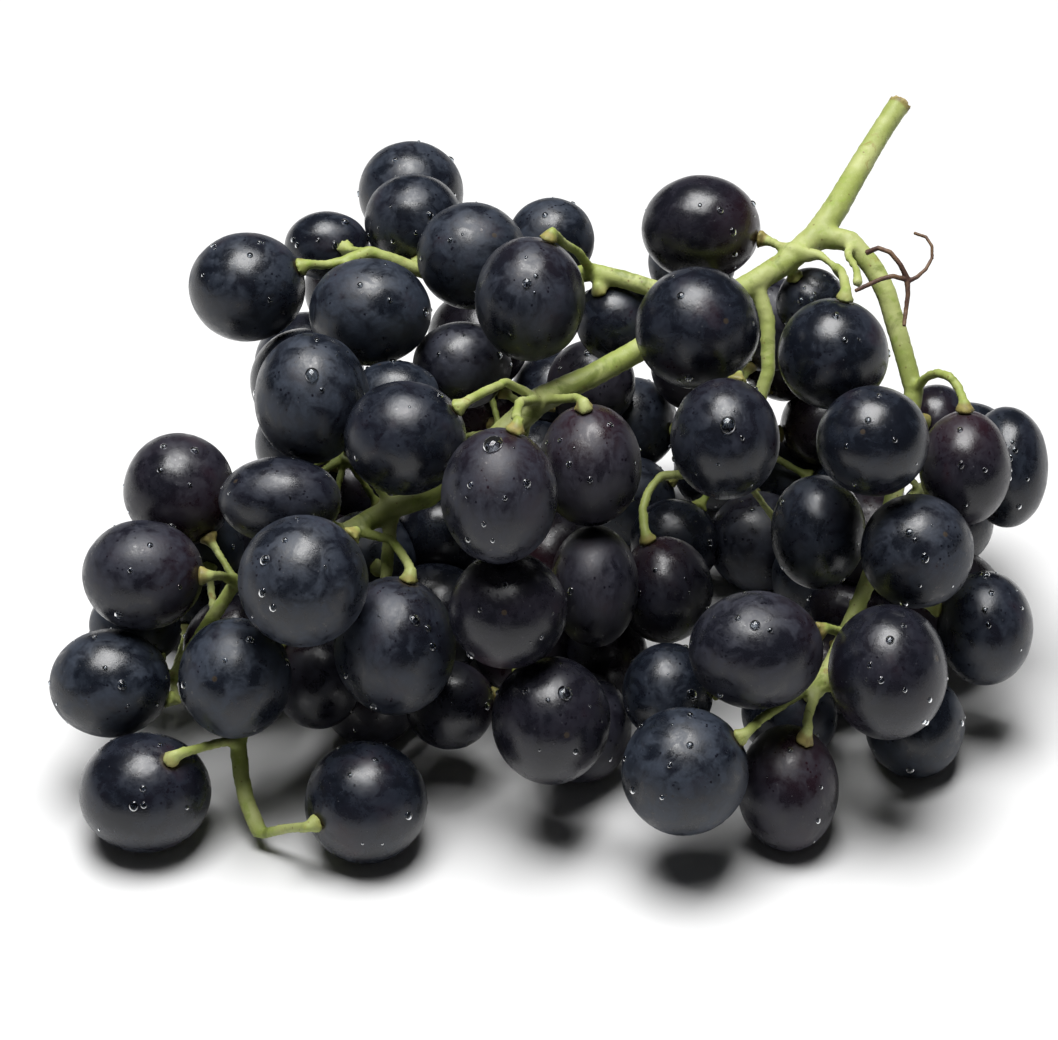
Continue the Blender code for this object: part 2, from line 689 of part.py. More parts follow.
def pedicel_choices(berries, index, row, roots, widths, lean):
    """Straight ways from the stems to a berry, the best first. A lean tips the berry's stem end up."""
    middle = berries.middles[index]
    choices = []
    for choice in np.argsort(np.linalg.norm(roots - middle, axis=1))[:60]:
        root = roots[choice]
        direction = root - middle
        length = np.linalg.norm(direction)
        direction = direction / length + np.array((0.0, 0.0, lean))
        if row is not None and row[5] is not None:
            direction = shown_stem_end(berries, index, row)
        direction = direction / np.linalg.norm(direction)
        points = pedicel_points(berries, index, root, direction, [])
        count = 2 if np.linalg.norm(points[1] - root) > 14 else 1
        extra = [root + (points[1] - root) * (k + 1) / (count + 1) for k in range(count)]
        points = np.vstack((points[:1], extra, points[1:]))
        radii = pedicel_radii(len(points), THIN_PEDICEL_RADIUS)
        before = path_clearance(berries, points, radii, own=index)
        cost = length + 6.0 * max(0.0, STEM_GAP - before)
        if widths[choice] < THIN_PEDICEL_RADIUS + 0.3:
            cost += 5.0
        choices.append((cost, choice, points, radii, direction))
    choices.sort(key=lambda item: item[:2])
    return choices


def other_pedicels(berries, stems, ends):
    """A pedicel for every other berry, by rule: from a near point of a stem, round the berries."""
    roots = np.vstack([points for points, _ in stems])
    widths = np.concatenate([radii for _, radii in stems])
    pedicels = []
    for index, name in enumerate(berries.names):
        if index in ends:
            continue
        row = BERRIES.get(name)
        best = None
        for lean in PEDICEL_LEANS:
            if best is not None and best[0] > RECEPTACLE_GAP:
                break
            choices = pedicel_choices(berries, index, row, roots, widths, lean)
            for _, _, points, radii, direction in choices[:18]:
                ways = [0] + [2] * (len(points) - 3) + [0, 0]
                points = relax_path(berries, points, radii, ways, 160, own=index, smooth=0.1)
                clear = path_clearance(berries, points, radii, own=index)
                if best is None or clear > best[0]:
                    best = (clear, name, points, radii)
                    ends[index] = direction
                if clear > RECEPTACLE_GAP:
                    break
        pedicels.append(best)
    return pedicels


def new_object(name, mesh_data, colour, roughness):
    """A mesh object in the scene with its own material."""
    mesh = bpy.data.meshes.new(name)
    mesh_data.to_mesh(mesh)
    mesh_data.free()
    obj = bpy.data.objects.new(name, mesh)
    bpy.context.scene.collection.objects.link(obj)
    material = bpy.data.materials.new(name)
    material.use_nodes = True
    shader = material.node_tree.nodes["Principled BSDF"]
    shader.inputs["Base Color"].default_value = colour
    shader.inputs["Roughness"].default_value = roughness
    shader.inputs["Metallic"].default_value = 0.0
    material.diffuse_color = colour
    mesh.materials.append(material)
    return obj


def berry_mesh(middle, shape, end, sides, rings, roll):
    """A closed ball of flat facets, stretched to the berry, with a small flat at its stem end."""
    bm = bmesh.new()
    axis = np.linalg.inv(shape) @ end
    axis = axis / np.linalg.norm(axis)
    side = np.cross(axis, (0.31, 0.17, 0.93))
    side = side / np.linalg.norm(side)
    third = np.cross(axis, side)
    loops = []
    for degrees in rings:
        angle = math.radians(degrees)
        loop = []
        for k in range(sides):
            turn = roll + math.tau * k / sides
            flat = side * math.cos(turn) + third * math.sin(turn)
            ball = axis * math.cos(angle) + flat * math.sin(angle)
            loop.append(bm.verts.new(Vector((middle + shape @ ball) * MM)))
        loops.append(loop)
    tip = bm.verts.new(Vector((middle - shape @ axis) * MM))
    bm.faces.new(list(reversed(loops[0])))
    for upper, lower in zip(loops[:-1], loops[1:]):
        for k in range(sides):
            after = (k + 1) % sides
            bm.faces.new((upper[k], upper[after], lower[after], lower[k]))
    for k in range(sides):
        bm.faces.new((loops[-1][k], loops[-1][(k + 1) % sides], tip))
    bmesh.ops.recalc_face_normals(bm, faces=bm.faces[:])
    return bm


def press_flat(bm):
    """Cuts off what lies below the table top and closes the cut with a flat."""
    if min(vert.co.z for vert in bm.verts) > 0.0:
        return
    every = bm.verts[:] + bm.edges[:] + bm.faces[:]
    cut = bmesh.ops.bisect_plane(
        bm, geom=every, dist=1e-7, plane_co=(0, 0, 0), plane_no=(0, 0, 1), clear_inner=True
    )
    edges = [item for item in cut["geom_cut"] if isinstance(item, bmesh.types.BMEdge)]
    bmesh.ops.edgeloop_fill(bm, edges=edges)
    bmesh.ops.recalc_face_normals(bm, faces=bm.faces[:])


def tube_mesh(points, radii, sides):
    """A closed tube along points."""
    bm = bmesh.new()
    count = len(points)
    steps = np.zeros_like(points)
    steps[1:-1] = points[2:] - points[:-2]
    steps[0] = points[1] - points[0]
    steps[-1] = points[-1] - points[-2]
    steps /= np.linalg.norm(steps, axis=1)[:, None]
    side = np.cross(steps[0], (0.23, 0.41, 0.88))
    side /= np.linalg.norm(side)
    loops = []
    for i in range(count):
        side = side - steps[i] * (side @ steps[i])
        side /= np.linalg.norm(side)
        third = np.cross(steps[i], side)
        loop = []
        for k in range(sides):
            turn = math.tau * k / sides
            spot = points[i] + radii[i] * (side * math.cos(turn) + third * math.sin(turn))
            loop.append(bm.verts.new(Vector(spot * MM)))
        loops.append(loop)
    bm.faces.new(list(reversed(loops[0])))
    bm.faces.new(loops[-1])
    for lower, upper in zip(loops[:-1], loops[1:]):
        for k in range(sides):
            after = (k + 1) % sides
            bm.faces.new((lower[k], lower[after], upper[after], upper[k]))
    bmesh.ops.recalc_face_normals(bm, faces=bm.faces[:])
    return bm


def join(target, others):
    """One Boolean union of an object with others, applied, with the others then removed."""
    if not others:
        return
    tools = bpy.data.collections.new(target.name + "_tools")
    bpy.context.scene.collection.children.link(tools)
    for other in others:
        tools.objects.link(other)
        bpy.context.scene.collection.objects.unlink(other)
    modifier = target.modifiers.new("join", "BOOLEAN")
    modifier.operation = "UNION"
    modifier.operand_type = "COLLECTION"
    modifier.collection = tools
    modifier.solver = "MANIFOLD"
    bpy.context.view_layer.objects.active = target
    bpy.ops.object.modifier_apply(modifier=modifier.name)
    for other in others:
        bpy.data.objects.remove(other, do_unlink=True)
    bpy.data.collections.remove(tools)


def fill_pockets(obj):
    """Fills the pockets that joined tubes can seal in between them, by removing their inner skins."""
    bm = bmesh.new()
    bm.from_mesh(obj.data)
    left = set(bm.verts)
    while left:
        start = left.pop()
        shell = {start}
        front = [start]
        while front:
            vert = front.pop()
            for edge in vert.link_edges:
                other = edge.other_vert(vert)
                if other in left:
                    left.discard(other)
                    shell.add(other)
                    front.append(other)
        faces = {face for vert in shell for face in vert.link_faces}
        volume = sum(face.calc_center_median().dot(face.normal) * face.calc_area() for face in faces)
        if volume < 0.0:
            bmesh.ops.delete(bm, geom=list(shell), context="VERTS")
    bm.to_mesh(obj.data)
    bm.free()


def clear_scene():
    for obj in list(bpy.data.objects):
        bpy.data.objects.remove(obj, do_unlink=True)


def centre_on_origin():
    """Moves every mesh so that the middle of the whole footprint is on the Z axis."""
    spots = np.array([vert.co[:] for obj in bpy.data.objects for vert in obj.data.vertices])
    middle = 0.5 * (spots.min(axis=0) + spots.max(axis=0))
    move = Matrix.Translation((-middle[0], -middle[1], 0.0))
    for obj in bpy.data.objects:
        obj.data.transform(move)
    return np.array((-middle[0], -middle[1], 0.0)) / MM


def main():
    clear_scene()
    rng = random.Random(SEED)
    names, middles, shapes = settle_berries()
    berries = Berries(names, middles, shapes)
    shown = len(names)
    stems = build_stems(berries)
    pedicels, ends = shown_pedicels(berries, stems)
    showing = [stems[0], stems[1], stems[2]] + [(points, radii) for _, _, points, radii in pedicels]
    clusters = grow_clusters(berries, stems, showing, rng)
    pedicels += other_pedicels(berries, stems, ends)

    for index, name in enumerate(berries.names[:shown]):
        middle = berries.middles[index]
        roll = rng.uniform(0, math.tau)
        bm = berry_mesh(middle, berries.shapes[index], ends[index], BERRY_SIDES, BERRY_RINGS, roll)
        press_flat(bm)
        new_object(f"berry_{name}", bm, BERRY_COLOUR, 0.45)

    for name, own in clusters.items():
        parts = []
        for index in own:
            middle = berries.middles[index]
            roll = rng.uniform(0, math.tau)
            bm = berry_mesh(
                middle, berries.shapes[index], ends[index], CLUSTER_SIDES, CLUSTER_RINGS, roll
            )
            press_flat(bm)
            parts.append(new_object(name if not parts else name + "_part", bm, BERRY_COLOUR, 0.45))
        join(parts[0], parts[1:])

    parts = []
    for number, (points, radii) in enumerate(stems):
        bm = tube_mesh(points, radii, 8 if number < 2 else 6)
        parts.append(new_object("stem" if not parts else "stem_part", bm, STEM_COLOUR, 0.6))
    for clear, name, points, radii in pedicels:
        bm = tube_mesh(points, radii, 5 if name in SHOWN_PEDICELS else 4)
        parts.append(new_object("stem_part", bm, STEM_COLOUR, 0.6))
    join(parts[0], parts[1:])
    fill_pockets(parts[0])

    parts = []
    for rows in TENDRILS:
        points, radii, _ = curve([row + (1,) for row in rows], TENDRIL_STEP)
        bm = tube_mesh(points, radii, 5)
        parts.append(new_object("tendril" if not parts else "tendril_part", bm, TENDRIL_COLOUR, 0.6))
    join(parts[0], parts[1:])
    shift = centre_on_origin()
    return berries, stems, clusters, pedicels, shift


RESULT = main()
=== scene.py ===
"""The looks of a bunch of black grapes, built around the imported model.

Every berry is read back from its solid: the ellipsoid that its corners lie on, and the point where
its pedicel ends. A smooth berry with a dimple, a stylar scar and slight unevenness takes its place.
The stem is the solid's own mesh, remeshed fine and smoothed, with a collar at each berry. Water
drops sit on the skins. Lengths are in millimetres and angles in degrees.
"""

import math
import random

import bmesh
import bpy
import numpy as np
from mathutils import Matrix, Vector, noise


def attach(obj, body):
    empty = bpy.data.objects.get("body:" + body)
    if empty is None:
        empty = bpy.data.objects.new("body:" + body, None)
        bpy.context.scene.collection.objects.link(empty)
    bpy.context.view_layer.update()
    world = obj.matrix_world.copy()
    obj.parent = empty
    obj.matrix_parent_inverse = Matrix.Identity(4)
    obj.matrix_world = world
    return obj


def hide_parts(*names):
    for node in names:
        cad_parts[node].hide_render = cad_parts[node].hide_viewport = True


MM = 0.001

# The photograph's camera, worked out with the solids. Its tilt is in radians
PHOTO_WIDTH = 1058
PHOTO_HEIGHT = 1040
FOCAL_PIXELS = 3077.0
SENSOR_WIDTH = 36.0
VIEW_TILT = math.radians(35.0)
VIEW_TOWARD = np.array((0.0, -math.cos(VIEW_TILT), math.sin(VIEW_TILT)))
VIEW_DISTANCE = 600.0
VIEW_MIDDLE = np.array((-5.93, -8.18, 38.0))

# The solids' rule for the berries of the clusters: a little longer towards the bunch's middle
ROOM_MIDDLE = np.array((2.07, 1.82, 38.0))
HIDDEN_STRETCH = 1.05
BALL_RADIUS = (8.3, 12.4)
BALL_CORNERS = 9
RING_CORNERS = 5
CORNER_TOLERANCE = 0.03

# A berry that rests on the floor is cut flat there, so corners this low aren't on its ellipsoid
FLAT_TOP = 0.02

# Once a berry is found, the corners from this far outside its skin to this far inside go with it
TAKEN_OUTSIDE = 0.1
TAKEN_INSIDE = 1.0

# A pedicel's end face is this far off a berry's skin, give or take, and looks at its middle: first
# the strict test (gap, tolerance, cosine), then the loose one
END_TESTS = ((0.32, 0.14, 0.93), (0.35, 0.5, 0.8))
END_FACE_SIZE = 2.4

# Berries: their rings are at these angles from the stem, closer at the dimple and at the scar
BERRY_SIDES = 64
BERRY_RINGS = (
    0.0, 1.6, 3.4, 5.4, 7.6, 10.0, 12.6, 15.6, 19.0, 23.0, 27.5, 32.5, 38.0, 44.0, 50.0, 56.0, 62.0,
    68.0, 74.0, 80.0, 86.0, 92.0, 98.0, 104.0, 110.0, 116.0, 122.0, 128.0, 134.0, 140.0, 146.0,
    152.0, 157.5, 162.5, 167.0, 170.5, 173.2, 175.2, 176.8, 178.2, 180.0,
)
CLUSTER_BERRY_SIDES = 48
DIMPLE_DEPTH = 0.28
DIMPLE_ANGLE = 11.0
PUCKER = 0.035
PUCKER_ANGLE = 17.0
PUCKER_WIDTH = 8.0
PUCKER_FOLDS = 7.0
SCAR_DEPTH = 0.12
SCAR_ANGLE = 3.2
SCAR_POINT = 0.10
SCAR_POINT_ANGLE = 1.3
UNEVEN = 0.16
UNEVEN_SIZE = 0.8
FINE_UNEVEN_SHARE = 0.35
FINE_UNEVEN_SIZE = 0.33

# Where berries meet: the room left, how near a berry counts, and the least height of any skin
CONTACT_ROOM = 0.06
CONTACT_REACH = 2.0
CONTACT_DEPTH = 0.5
BERRY_FLOOR = 0.01

# Stem
STEM_VOXEL = 0.50
STEM_SMOOTHING = 8
STEM_SWELL = 0.25
STEM_KNOBBLE = 0.10
STEM_KNOBBLE_SIZE = 1.5
FINE_KNOBBLE_SHARE = 0.6
FINE_KNOBBLE_SIZE = 0.6
STEM_FLOOR = 0.02
COLLAR_RADIUS = 2.15
COLLAR_HEIGHT = 0.38
COLLAR_LIFT = 0.30
COLLAR_SIDES = 14
COLLAR_LOOPS = (30, 60, 90, 120, 150)

# How near to a berry the stem is fully brown and not brown any more, and how brown at the least
BROWN_REACH = (1.4, 3.0)
BROWN_LEAST = 0.40

# The stalk's cut end: the search for its face, the flattened face, the flare and the brown rim
CUT_SEARCH = 6.0
CUT_SAME_WAY = 0.999
CUT_SAME_PLANE = 0.05
CUT_RADIUS = 5.0
CUT_FACE_DEPTH = 0.35
CUT_BACK = 0.02
CUT_FLARE = 0.16
CUT_FLARE_LENGTH = 0.9
CUT_RIM = (-0.5, 6.0)
CUT_PITH_DEPTH = 0.12
CUT_BROWN = (0.3, 2.4)

# Tendril
TENDRIL_VOXEL = 0.16
TENDRIL_SMOOTHING = 4
TENDRIL_SWELL = 0.07
TENDRIL_KNOBBLE = 0.05
TENDRIL_KNOBBLE_SIZE = 0.8

# Corners of a solid that are nearer than this are one corner
SAME_CORNER = 0.002

# Water drops: the ones that catch the eye, as the pixel's x and y in the photograph and the
# drop's radius, and then the rule for the rest
DROPS = (
    (527, 283, 0.95), (536, 276, 0.50), (493, 445, 1.75), (527, 483, 0.80), (505, 498, 0.45),
    (312, 375, 1.35), (322, 390, 0.50), (728, 425, 1.45), (742, 438, 0.45), (415, 620, 0.95),
    (428, 628, 0.60), (565, 693, 1.40), (548, 700, 0.50), (470, 655, 0.85), (476, 668, 0.55),
    (692, 695, 1.10), (690, 715, 0.60), (720, 210, 0.70), (733, 232, 0.75), (700, 205, 0.40),
    (755, 625, 1.00), (738, 618, 0.60), (925, 558, 0.80), (915, 540, 0.45), (122, 685, 0.90),
    (105, 668, 0.50), (335, 245, 0.75), (318, 240, 0.45), (985, 575, 0.95), (610, 425, 0.60),
    (560, 440, 0.50), (590, 480, 0.60), (812, 300, 0.60), (845, 340, 0.55), (868, 420, 0.60),
    (895, 440, 0.50), (250, 255, 0.60), (270, 300, 0.45), (360, 285, 0.60), (390, 300, 0.50),
    (430, 215, 0.70), (450, 240, 0.50), (395, 160, 0.60), (545, 215, 0.60), (960, 430, 0.60),
    (985, 470, 0.50), (1015, 450, 0.60), (655, 570, 0.50), (505, 585, 0.60), (480, 610, 0.45),
    (285, 540, 0.60), (265, 560, 0.90), (250, 640, 0.75), (225, 660, 0.50), (150, 545, 0.60),
    (130, 570, 0.50), (160, 470, 0.60), (190, 485, 0.45), (160, 745, 0.50), (375, 760, 0.60),
    (350, 775, 0.45), (690, 745, 0.70), (670, 765, 0.50), (790, 750, 0.60), (890, 640, 0.80),
    (870, 665, 0.55), (905, 690, 0.45), (985, 610, 0.60), (930, 700, 0.50), (440, 395, 0.60),
)
DROPS_PER_BERRY = 11
DROP_RADIUS = (0.22, 0.85)
DROP_HEIGHT = 0.66
DROP_SINK = 0.07
DROP_SAG = 0.22
DROP_SIDES = 20
DROP_RINGS = (14, 28, 43, 58, 72, 84)
DROP_ROOM = 0.15

# A drop's height and length against its radius vary by this much, and its foot goes under the skin
DROP_HEIGHT_SPREAD = (0.85, 1.15)
DROP_LENGTH = (1.0, 1.2)
DROP_FOOT = 1.02
DROP_FOOT_DEPTH = 0.05

# Small drops are the more common by this power. None is under a berry, at its stem, or too near
# another berry or the floor
DROP_SMALLNESS = 2.2
DROP_LOWEST = -0.55
DROP_OFF_STEM = 0.94
DROP_EDGE = 0.3
DROP_ABOVE_FLOOR = 1.2

# The drops are joined into pieces by where their berries stand: name, from and up to which x
DROP_PIECES = (("left", -1000.0, -25.0), ("middle", -25.0, 25.0), ("right", 25.0, 1000.0))

# Colours of the skin: under the bloom, on the red side, the bloom in two tones, the bloom of the
# violet berries, and the small pale dots, the stain at the stem and the scar
SKIN_DEEP = (0.0040, 0.0044, 0.0075)
SKIN_DEEP_VIOLET = (0.0072, 0.0058, 0.0098)
SKIN_RED = (0.026, 0.0055, 0.0085)
DUST_THIN = (0.0150, 0.0225, 0.0355)
DUST_THICK = (0.0315, 0.0415, 0.0620)
DUST_VIOLET = (0.027, 0.021, 0.031)
SKIN_DOTS = (0.11, 0.11, 0.12)
SKIN_STAIN = (0.060, 0.045, 0.020)
SKIN_SCAR = (0.040, 0.030, 0.022)

# Colours of the stem, from fresh green to worn, rusty and dry, and of the pith at its cut end
STEM_GREEN = (0.285, 0.335, 0.085)
STEM_YELLOW = (0.410, 0.445, 0.170)
STEM_FRESH = (0.240, 0.330, 0.045)
STEM_STREAK = (0.560, 0.560, 0.260)
STEM_WORN = (0.150, 0.190, 0.035)
STEM_RUSTY = (0.260, 0.170, 0.050)
STEM_TAN_DARK = (0.130, 0.085, 0.030)
STEM_TAN = (0.300, 0.245, 0.075)
STEM_FRECKLE = (0.140, 0.080, 0.025)
PITH_DARK = (0.330, 0.240, 0.110)
PITH_PALE = (0.520, 0.430, 0.230)

# Colours of the tendril and of the water
TENDRIL_RED = (0.065, 0.028, 0.020)
TENDRIL_TAN = (0.150, 0.085, 0.042)
TENDRIL_DARK = (0.070, 0.030, 0.020)
WATER = (0.55, 0.60, 0.65, 1.0)
WATER_IOR = 1.333
SKIN_IOR = 1.46
STEM_IOR = 1.42

# Studio: the floor's rings as radius and glow, the world's light and how pale it looks
FLOOR_COLOUR = (0.74, 0.74, 0.74, 1.0)
FLOOR_SIDES = 48
FLOOR_RINGS = (
    (100, 0.0), (320, 0.0), (500, 0.06), (700, 0.24), (1000, 0.50), (1400, 0.70), (2000, 0.82),
    (4000, 0.88), (20000, 0.90),
)
WORLD_FILL = 0.022
WORLD_SEEN = 0.90
SOFTBOX_PLACE = (-70, 50, 1100)
SOFTBOX_AIM = (-6, 20, 40)
SOFTBOX_SIZE = (740, 660)
SOFTBOX_POWER = 21.5

SEED = 29

# No berry or collar points exactly this way, so a cross product with it is never nothing
SKEW = (0.31, 0.17, 0.93)


def corners(node):
    """The corners of a node's solid, each once."""
    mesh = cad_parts[node].data
    spots = np.empty(len(mesh.vertices) * 3)
    mesh.vertices.foreach_get("co", spots)
    return np.unique(np.round(spots.reshape(-1, 3) / MM, 4), axis=0)


def ellipsoid_through(spots):
    """The middle of the ellipsoid that corners lie on, and the matrix that makes it from a unit ball."""
    start = spots.mean(axis=0)
    x, y, z = (spots - start).T
    rows = np.stack(
        (x * x, y * y, z * z, 2 * x * y, 2 * x * z, 2 * y * z, 2 * x, 2 * y, 2 * z), axis=1
    )
    a = np.linalg.lstsq(rows, np.ones(len(rows)), rcond=None)[0]
    form = np.array(((a[0], a[3], a[4]), (a[3], a[1], a[5]), (a[4], a[5], a[2])))
    middle = -np.linalg.solve(form, a[6:9])
    form /= 1.0 + middle @ form @ middle
    values, ways = np.linalg.eigh(form)
    return start + middle, ways @ np.diag(values**-0.5) @ ways.T


def stretched_ball(spots):
    """The stretched ball nearest to some corners: its middle, its radius and its long axis."""
    middle = spots.mean(axis=0)
    for _ in range(6):
        axis = ROOM_MIDDLE - middle
        axis /= np.linalg.norm(axis)
        squeeze = np.eye(3) + (1.0 / HIDDEN_STRETCH - 1.0) * np.outer(axis, axis)
        flat = spots @ squeeze
        rows = np.hstack((2.0 * flat, np.ones((len(flat), 1))))
        found = np.linalg.lstsq(rows, (flat**2).sum(axis=1), rcond=None)[0]
        middle = np.linalg.solve(squeeze, found[:3])
        radius = math.sqrt(max(0.0, found[3] + found[:3] @ found[:3]))
    return middle, radius, axis


def strays(spots, middle, radius, axis):
    """How far corners are outside a stretched ball's skin."""
    squeeze = np.eye(3) + (1.0 / HIDDEN_STRETCH - 1.0) * np.outer(axis, axis)
    return np.linalg.norm((spots - middle) @ squeeze, axis=1) - radius


def merged(node):
    """A node's solid with each corner once."""
    bm = bmesh.new()
    bm.from_mesh(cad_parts[node].data)
    bmesh.ops.remove_doubles(bm, verts=bm.verts[:], dist=SAME_CORNER * MM)
    return bm


def neighbours(node):
    """The corners of a node's solid, each once, and for each the corners that share a face with it."""
    bm = merged(node)
    bm.verts.ensure_lookup_table()
    spots = np.array([vert.co[:] for vert in bm.verts]) / MM
    rings = []
    for vert in bm.verts:
        rings.append(sorted({other.index for face in vert.link_faces for other in face.verts}))
    bm.free()
    return spots, rings


def balls_in(node):
    """Splits a cluster into its berries.

    A corner and those round it lie on one berry, unless the corner is where two berries meet. So
    each corner gives a ball, the ball with the most corners on it is a berry, and its corners and
    those just inside its skin, where it meets the others, are then left out.
    """
    spots, rings = neighbours(node)
    above = spots[:, 2] > FLAT_TOP
    tries = []
    for ring in rings:
        ring = [k for k in ring if above[k]]
        if len(ring) < RING_CORNERS:
            continue
        middle, radius, axis = stretched_ball(spots[ring])
        if not BALL_RADIUS[0] < radius < BALL_RADIUS[1]:
            continue
        if np.abs(strays(spots[ring], middle, radius, axis)).max() < CORNER_TOLERANCE:
            tries.append((middle, radius, axis))
    left = above.copy()
    found = []
    while tries:
        counts = [(np.abs(strays(spots[left], *ball)) < CORNER_TOLERANCE).sum() for ball in tries]
        best = int(np.argmax(counts))
        if counts[best] < BALL_CORNERS:
            break
        middle, radius, axis = tries[best]
        for _ in range(2):
            on = left & (np.abs(strays(spots, middle, radius, axis)) < CORNER_TOLERANCE)
            middle, radius, axis = stretched_ball(spots[on])
        shape = radius * (np.eye(3) + (HIDDEN_STRETCH - 1.0) * np.outer(axis, axis))
        found.append((middle, shape))
        gone = strays(spots, middle, radius, axis)
        left &= ~((gone < TAKEN_OUTSIDE) & (gone > -TAKEN_INSIDE))
        tries = [ball for ball in tries if np.linalg.norm(ball[0] - middle) > radius]
    found.sort(key=lambda ball: tuple(ball[0]))
    return found


class Faces:
    """The faces of the stem's solid: middles, directions and areas."""

    def __init__(self, node):
        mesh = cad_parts[node].data
        count = len(mesh.polygons)
        self.middles = np.empty(count * 3)
        self.normals = np.empty(count * 3)
        self.areas = np.empty(count)
        mesh.polygons.foreach_get("center", self.middles)
        mesh.polygons.foreach_get("normal", self.normals)
        mesh.polygons.foreach_get("area", self.areas)
        self.middles = self.middles.reshape(-1, 3) / MM
        self.normals = self.normals.reshape(-1, 3)
        self.areas = self.areas / MM**2


def stem_end(ball, faces):
    """The direction from a berry's middle to where its pedicel ends, from the pedicel's end face."""
    middle, shape = ball
    inner = (faces.middles - middle) @ np.linalg.inv(shape).T
    size = np.linalg.norm(inner, axis=1)
    gap = (size - 1.0) * np.linalg.norm(faces.middles - middle, axis=1) / size
    out = (faces.middles - middle) / np.linalg.norm(faces.middles - middle, axis=1)[:, None]
    facing = -(faces.normals * out).sum(axis=1)
    for usual_gap, tolerance, cosine in END_TESTS:
        fit = (facing > cosine) & (np.abs(gap - usual_gap) < tolerance)
        if fit.any():
            break
    if not fit.any():
        return out[np.argmin(np.abs(gap))]
    spots = faces.middles[fit]
    areas = faces.areas[fit]
    close = np.linalg.norm(spots[:, None] - spots[None], axis=2) < END_FACE_SIZE
    best = close[np.argmax(close @ areas)]
    spot = (spots[best] * areas[best, None]).sum(axis=0) / areas[best].sum()
    return (spot - middle) / np.linalg.norm(spot - middle)


def unit(v):
    return v / np.linalg.norm(v)


class Berry:
    """One berry as read from the solids."""

    def __init__(self, name, node, ball, faces, rng):
        self.name = name
        self.node = node
        self.middle, self.shape = ball
        self.turned = np.linalg.inv(self.shape)
        self.radius = np.trace(self.shape) / 3.0
        self.axis = unit(self.turned @ stem_end(ball, faces))
        self.side = unit(np.cross(self.axis, SKEW))
        self.third = np.cross(self.axis, self.side)
        self.salt = np.array([rng.uniform(-50, 50) for _ in range(3)])
        self.tint = rng.random()
        self.bloom = rng.random()
        self.drops = []

    def skin(self, ball_directions):
        """Points on the ellipsoid for directions on the unit ball, and the ways out there."""
        spots = self.middle + ball_directions @ self.shape.T
        ways = ball_directions @ self.turned
        return spots, ways / np.linalg.norm(ways, axis=1)[:, None]

    def depth(self, spots):
        """How deep points are inside the berry. It is less than 0 outside."""
        inner = np.linalg.norm((spots - self.middle) @ self.turned.T, axis=1)
        return (1.0 - inner) * self.radius


def read_berries():
    rng = random.Random(SEED)
    faces = Faces("stem")
    found = []
    for node in sorted(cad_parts):
        if node.startswith("berry_"):
            spots = corners(node)
            ball = ellipsoid_through(spots[spots[:, 2] > FLAT_TOP])
            found.append(Berry(node, node, ball, faces, rng))
        if node.startswith("cluster_"):
            for number, ball in enumerate(balls_in(node), 1):
                found.append(Berry(f"{node}_{number:02d}", node, ball, faces, rng))
    return found


def soft_step(value, low, high):
    part = np.clip((value - low) / (high - low), 0.0, 1.0)
    return part * part * (3.0 - 2.0 * part)


def noise_at(spots, scale, salt):
    """Perlin noise at each point, from -1 to 1."""
    return np.array([noise.noise(Vector(spot / scale + salt)) for spot in spots])


def skin_lift(berry, balls):
    """How far a berry's skin stands out of the ellipsoid: unevenness, the dimple and the scar."""
    along = np.degrees(np.arccos(np.clip(balls @ berry.axis, -1.0, 1.0)))
    around = np.arctan2(balls @ berry.third, balls @ berry.side)
    lift = UNEVEN * noise_at(balls, UNEVEN_SIZE, berry.salt)
    lift += FINE_UNEVEN_SHARE * UNEVEN * noise_at(balls, FINE_UNEVEN_SIZE, berry.salt * 1.7)
    lift -= DIMPLE_DEPTH * np.exp(-((along / DIMPLE_ANGLE) ** 2))
    ridge = np.exp(-(((along - PUCKER_ANGLE) / PUCKER_WIDTH) ** 2))
    lift += PUCKER * ridge * np.sin(around * PUCKER_FOLDS + berry.tint * 9.0)
    from_scar = 180.0 - along
    lift -= SCAR_DEPTH * np.exp(-((from_scar / SCAR_ANGLE) ** 2))
    return lift + SCAR_POINT * np.exp(-((from_scar / SCAR_POINT_ANGLE) ** 2))


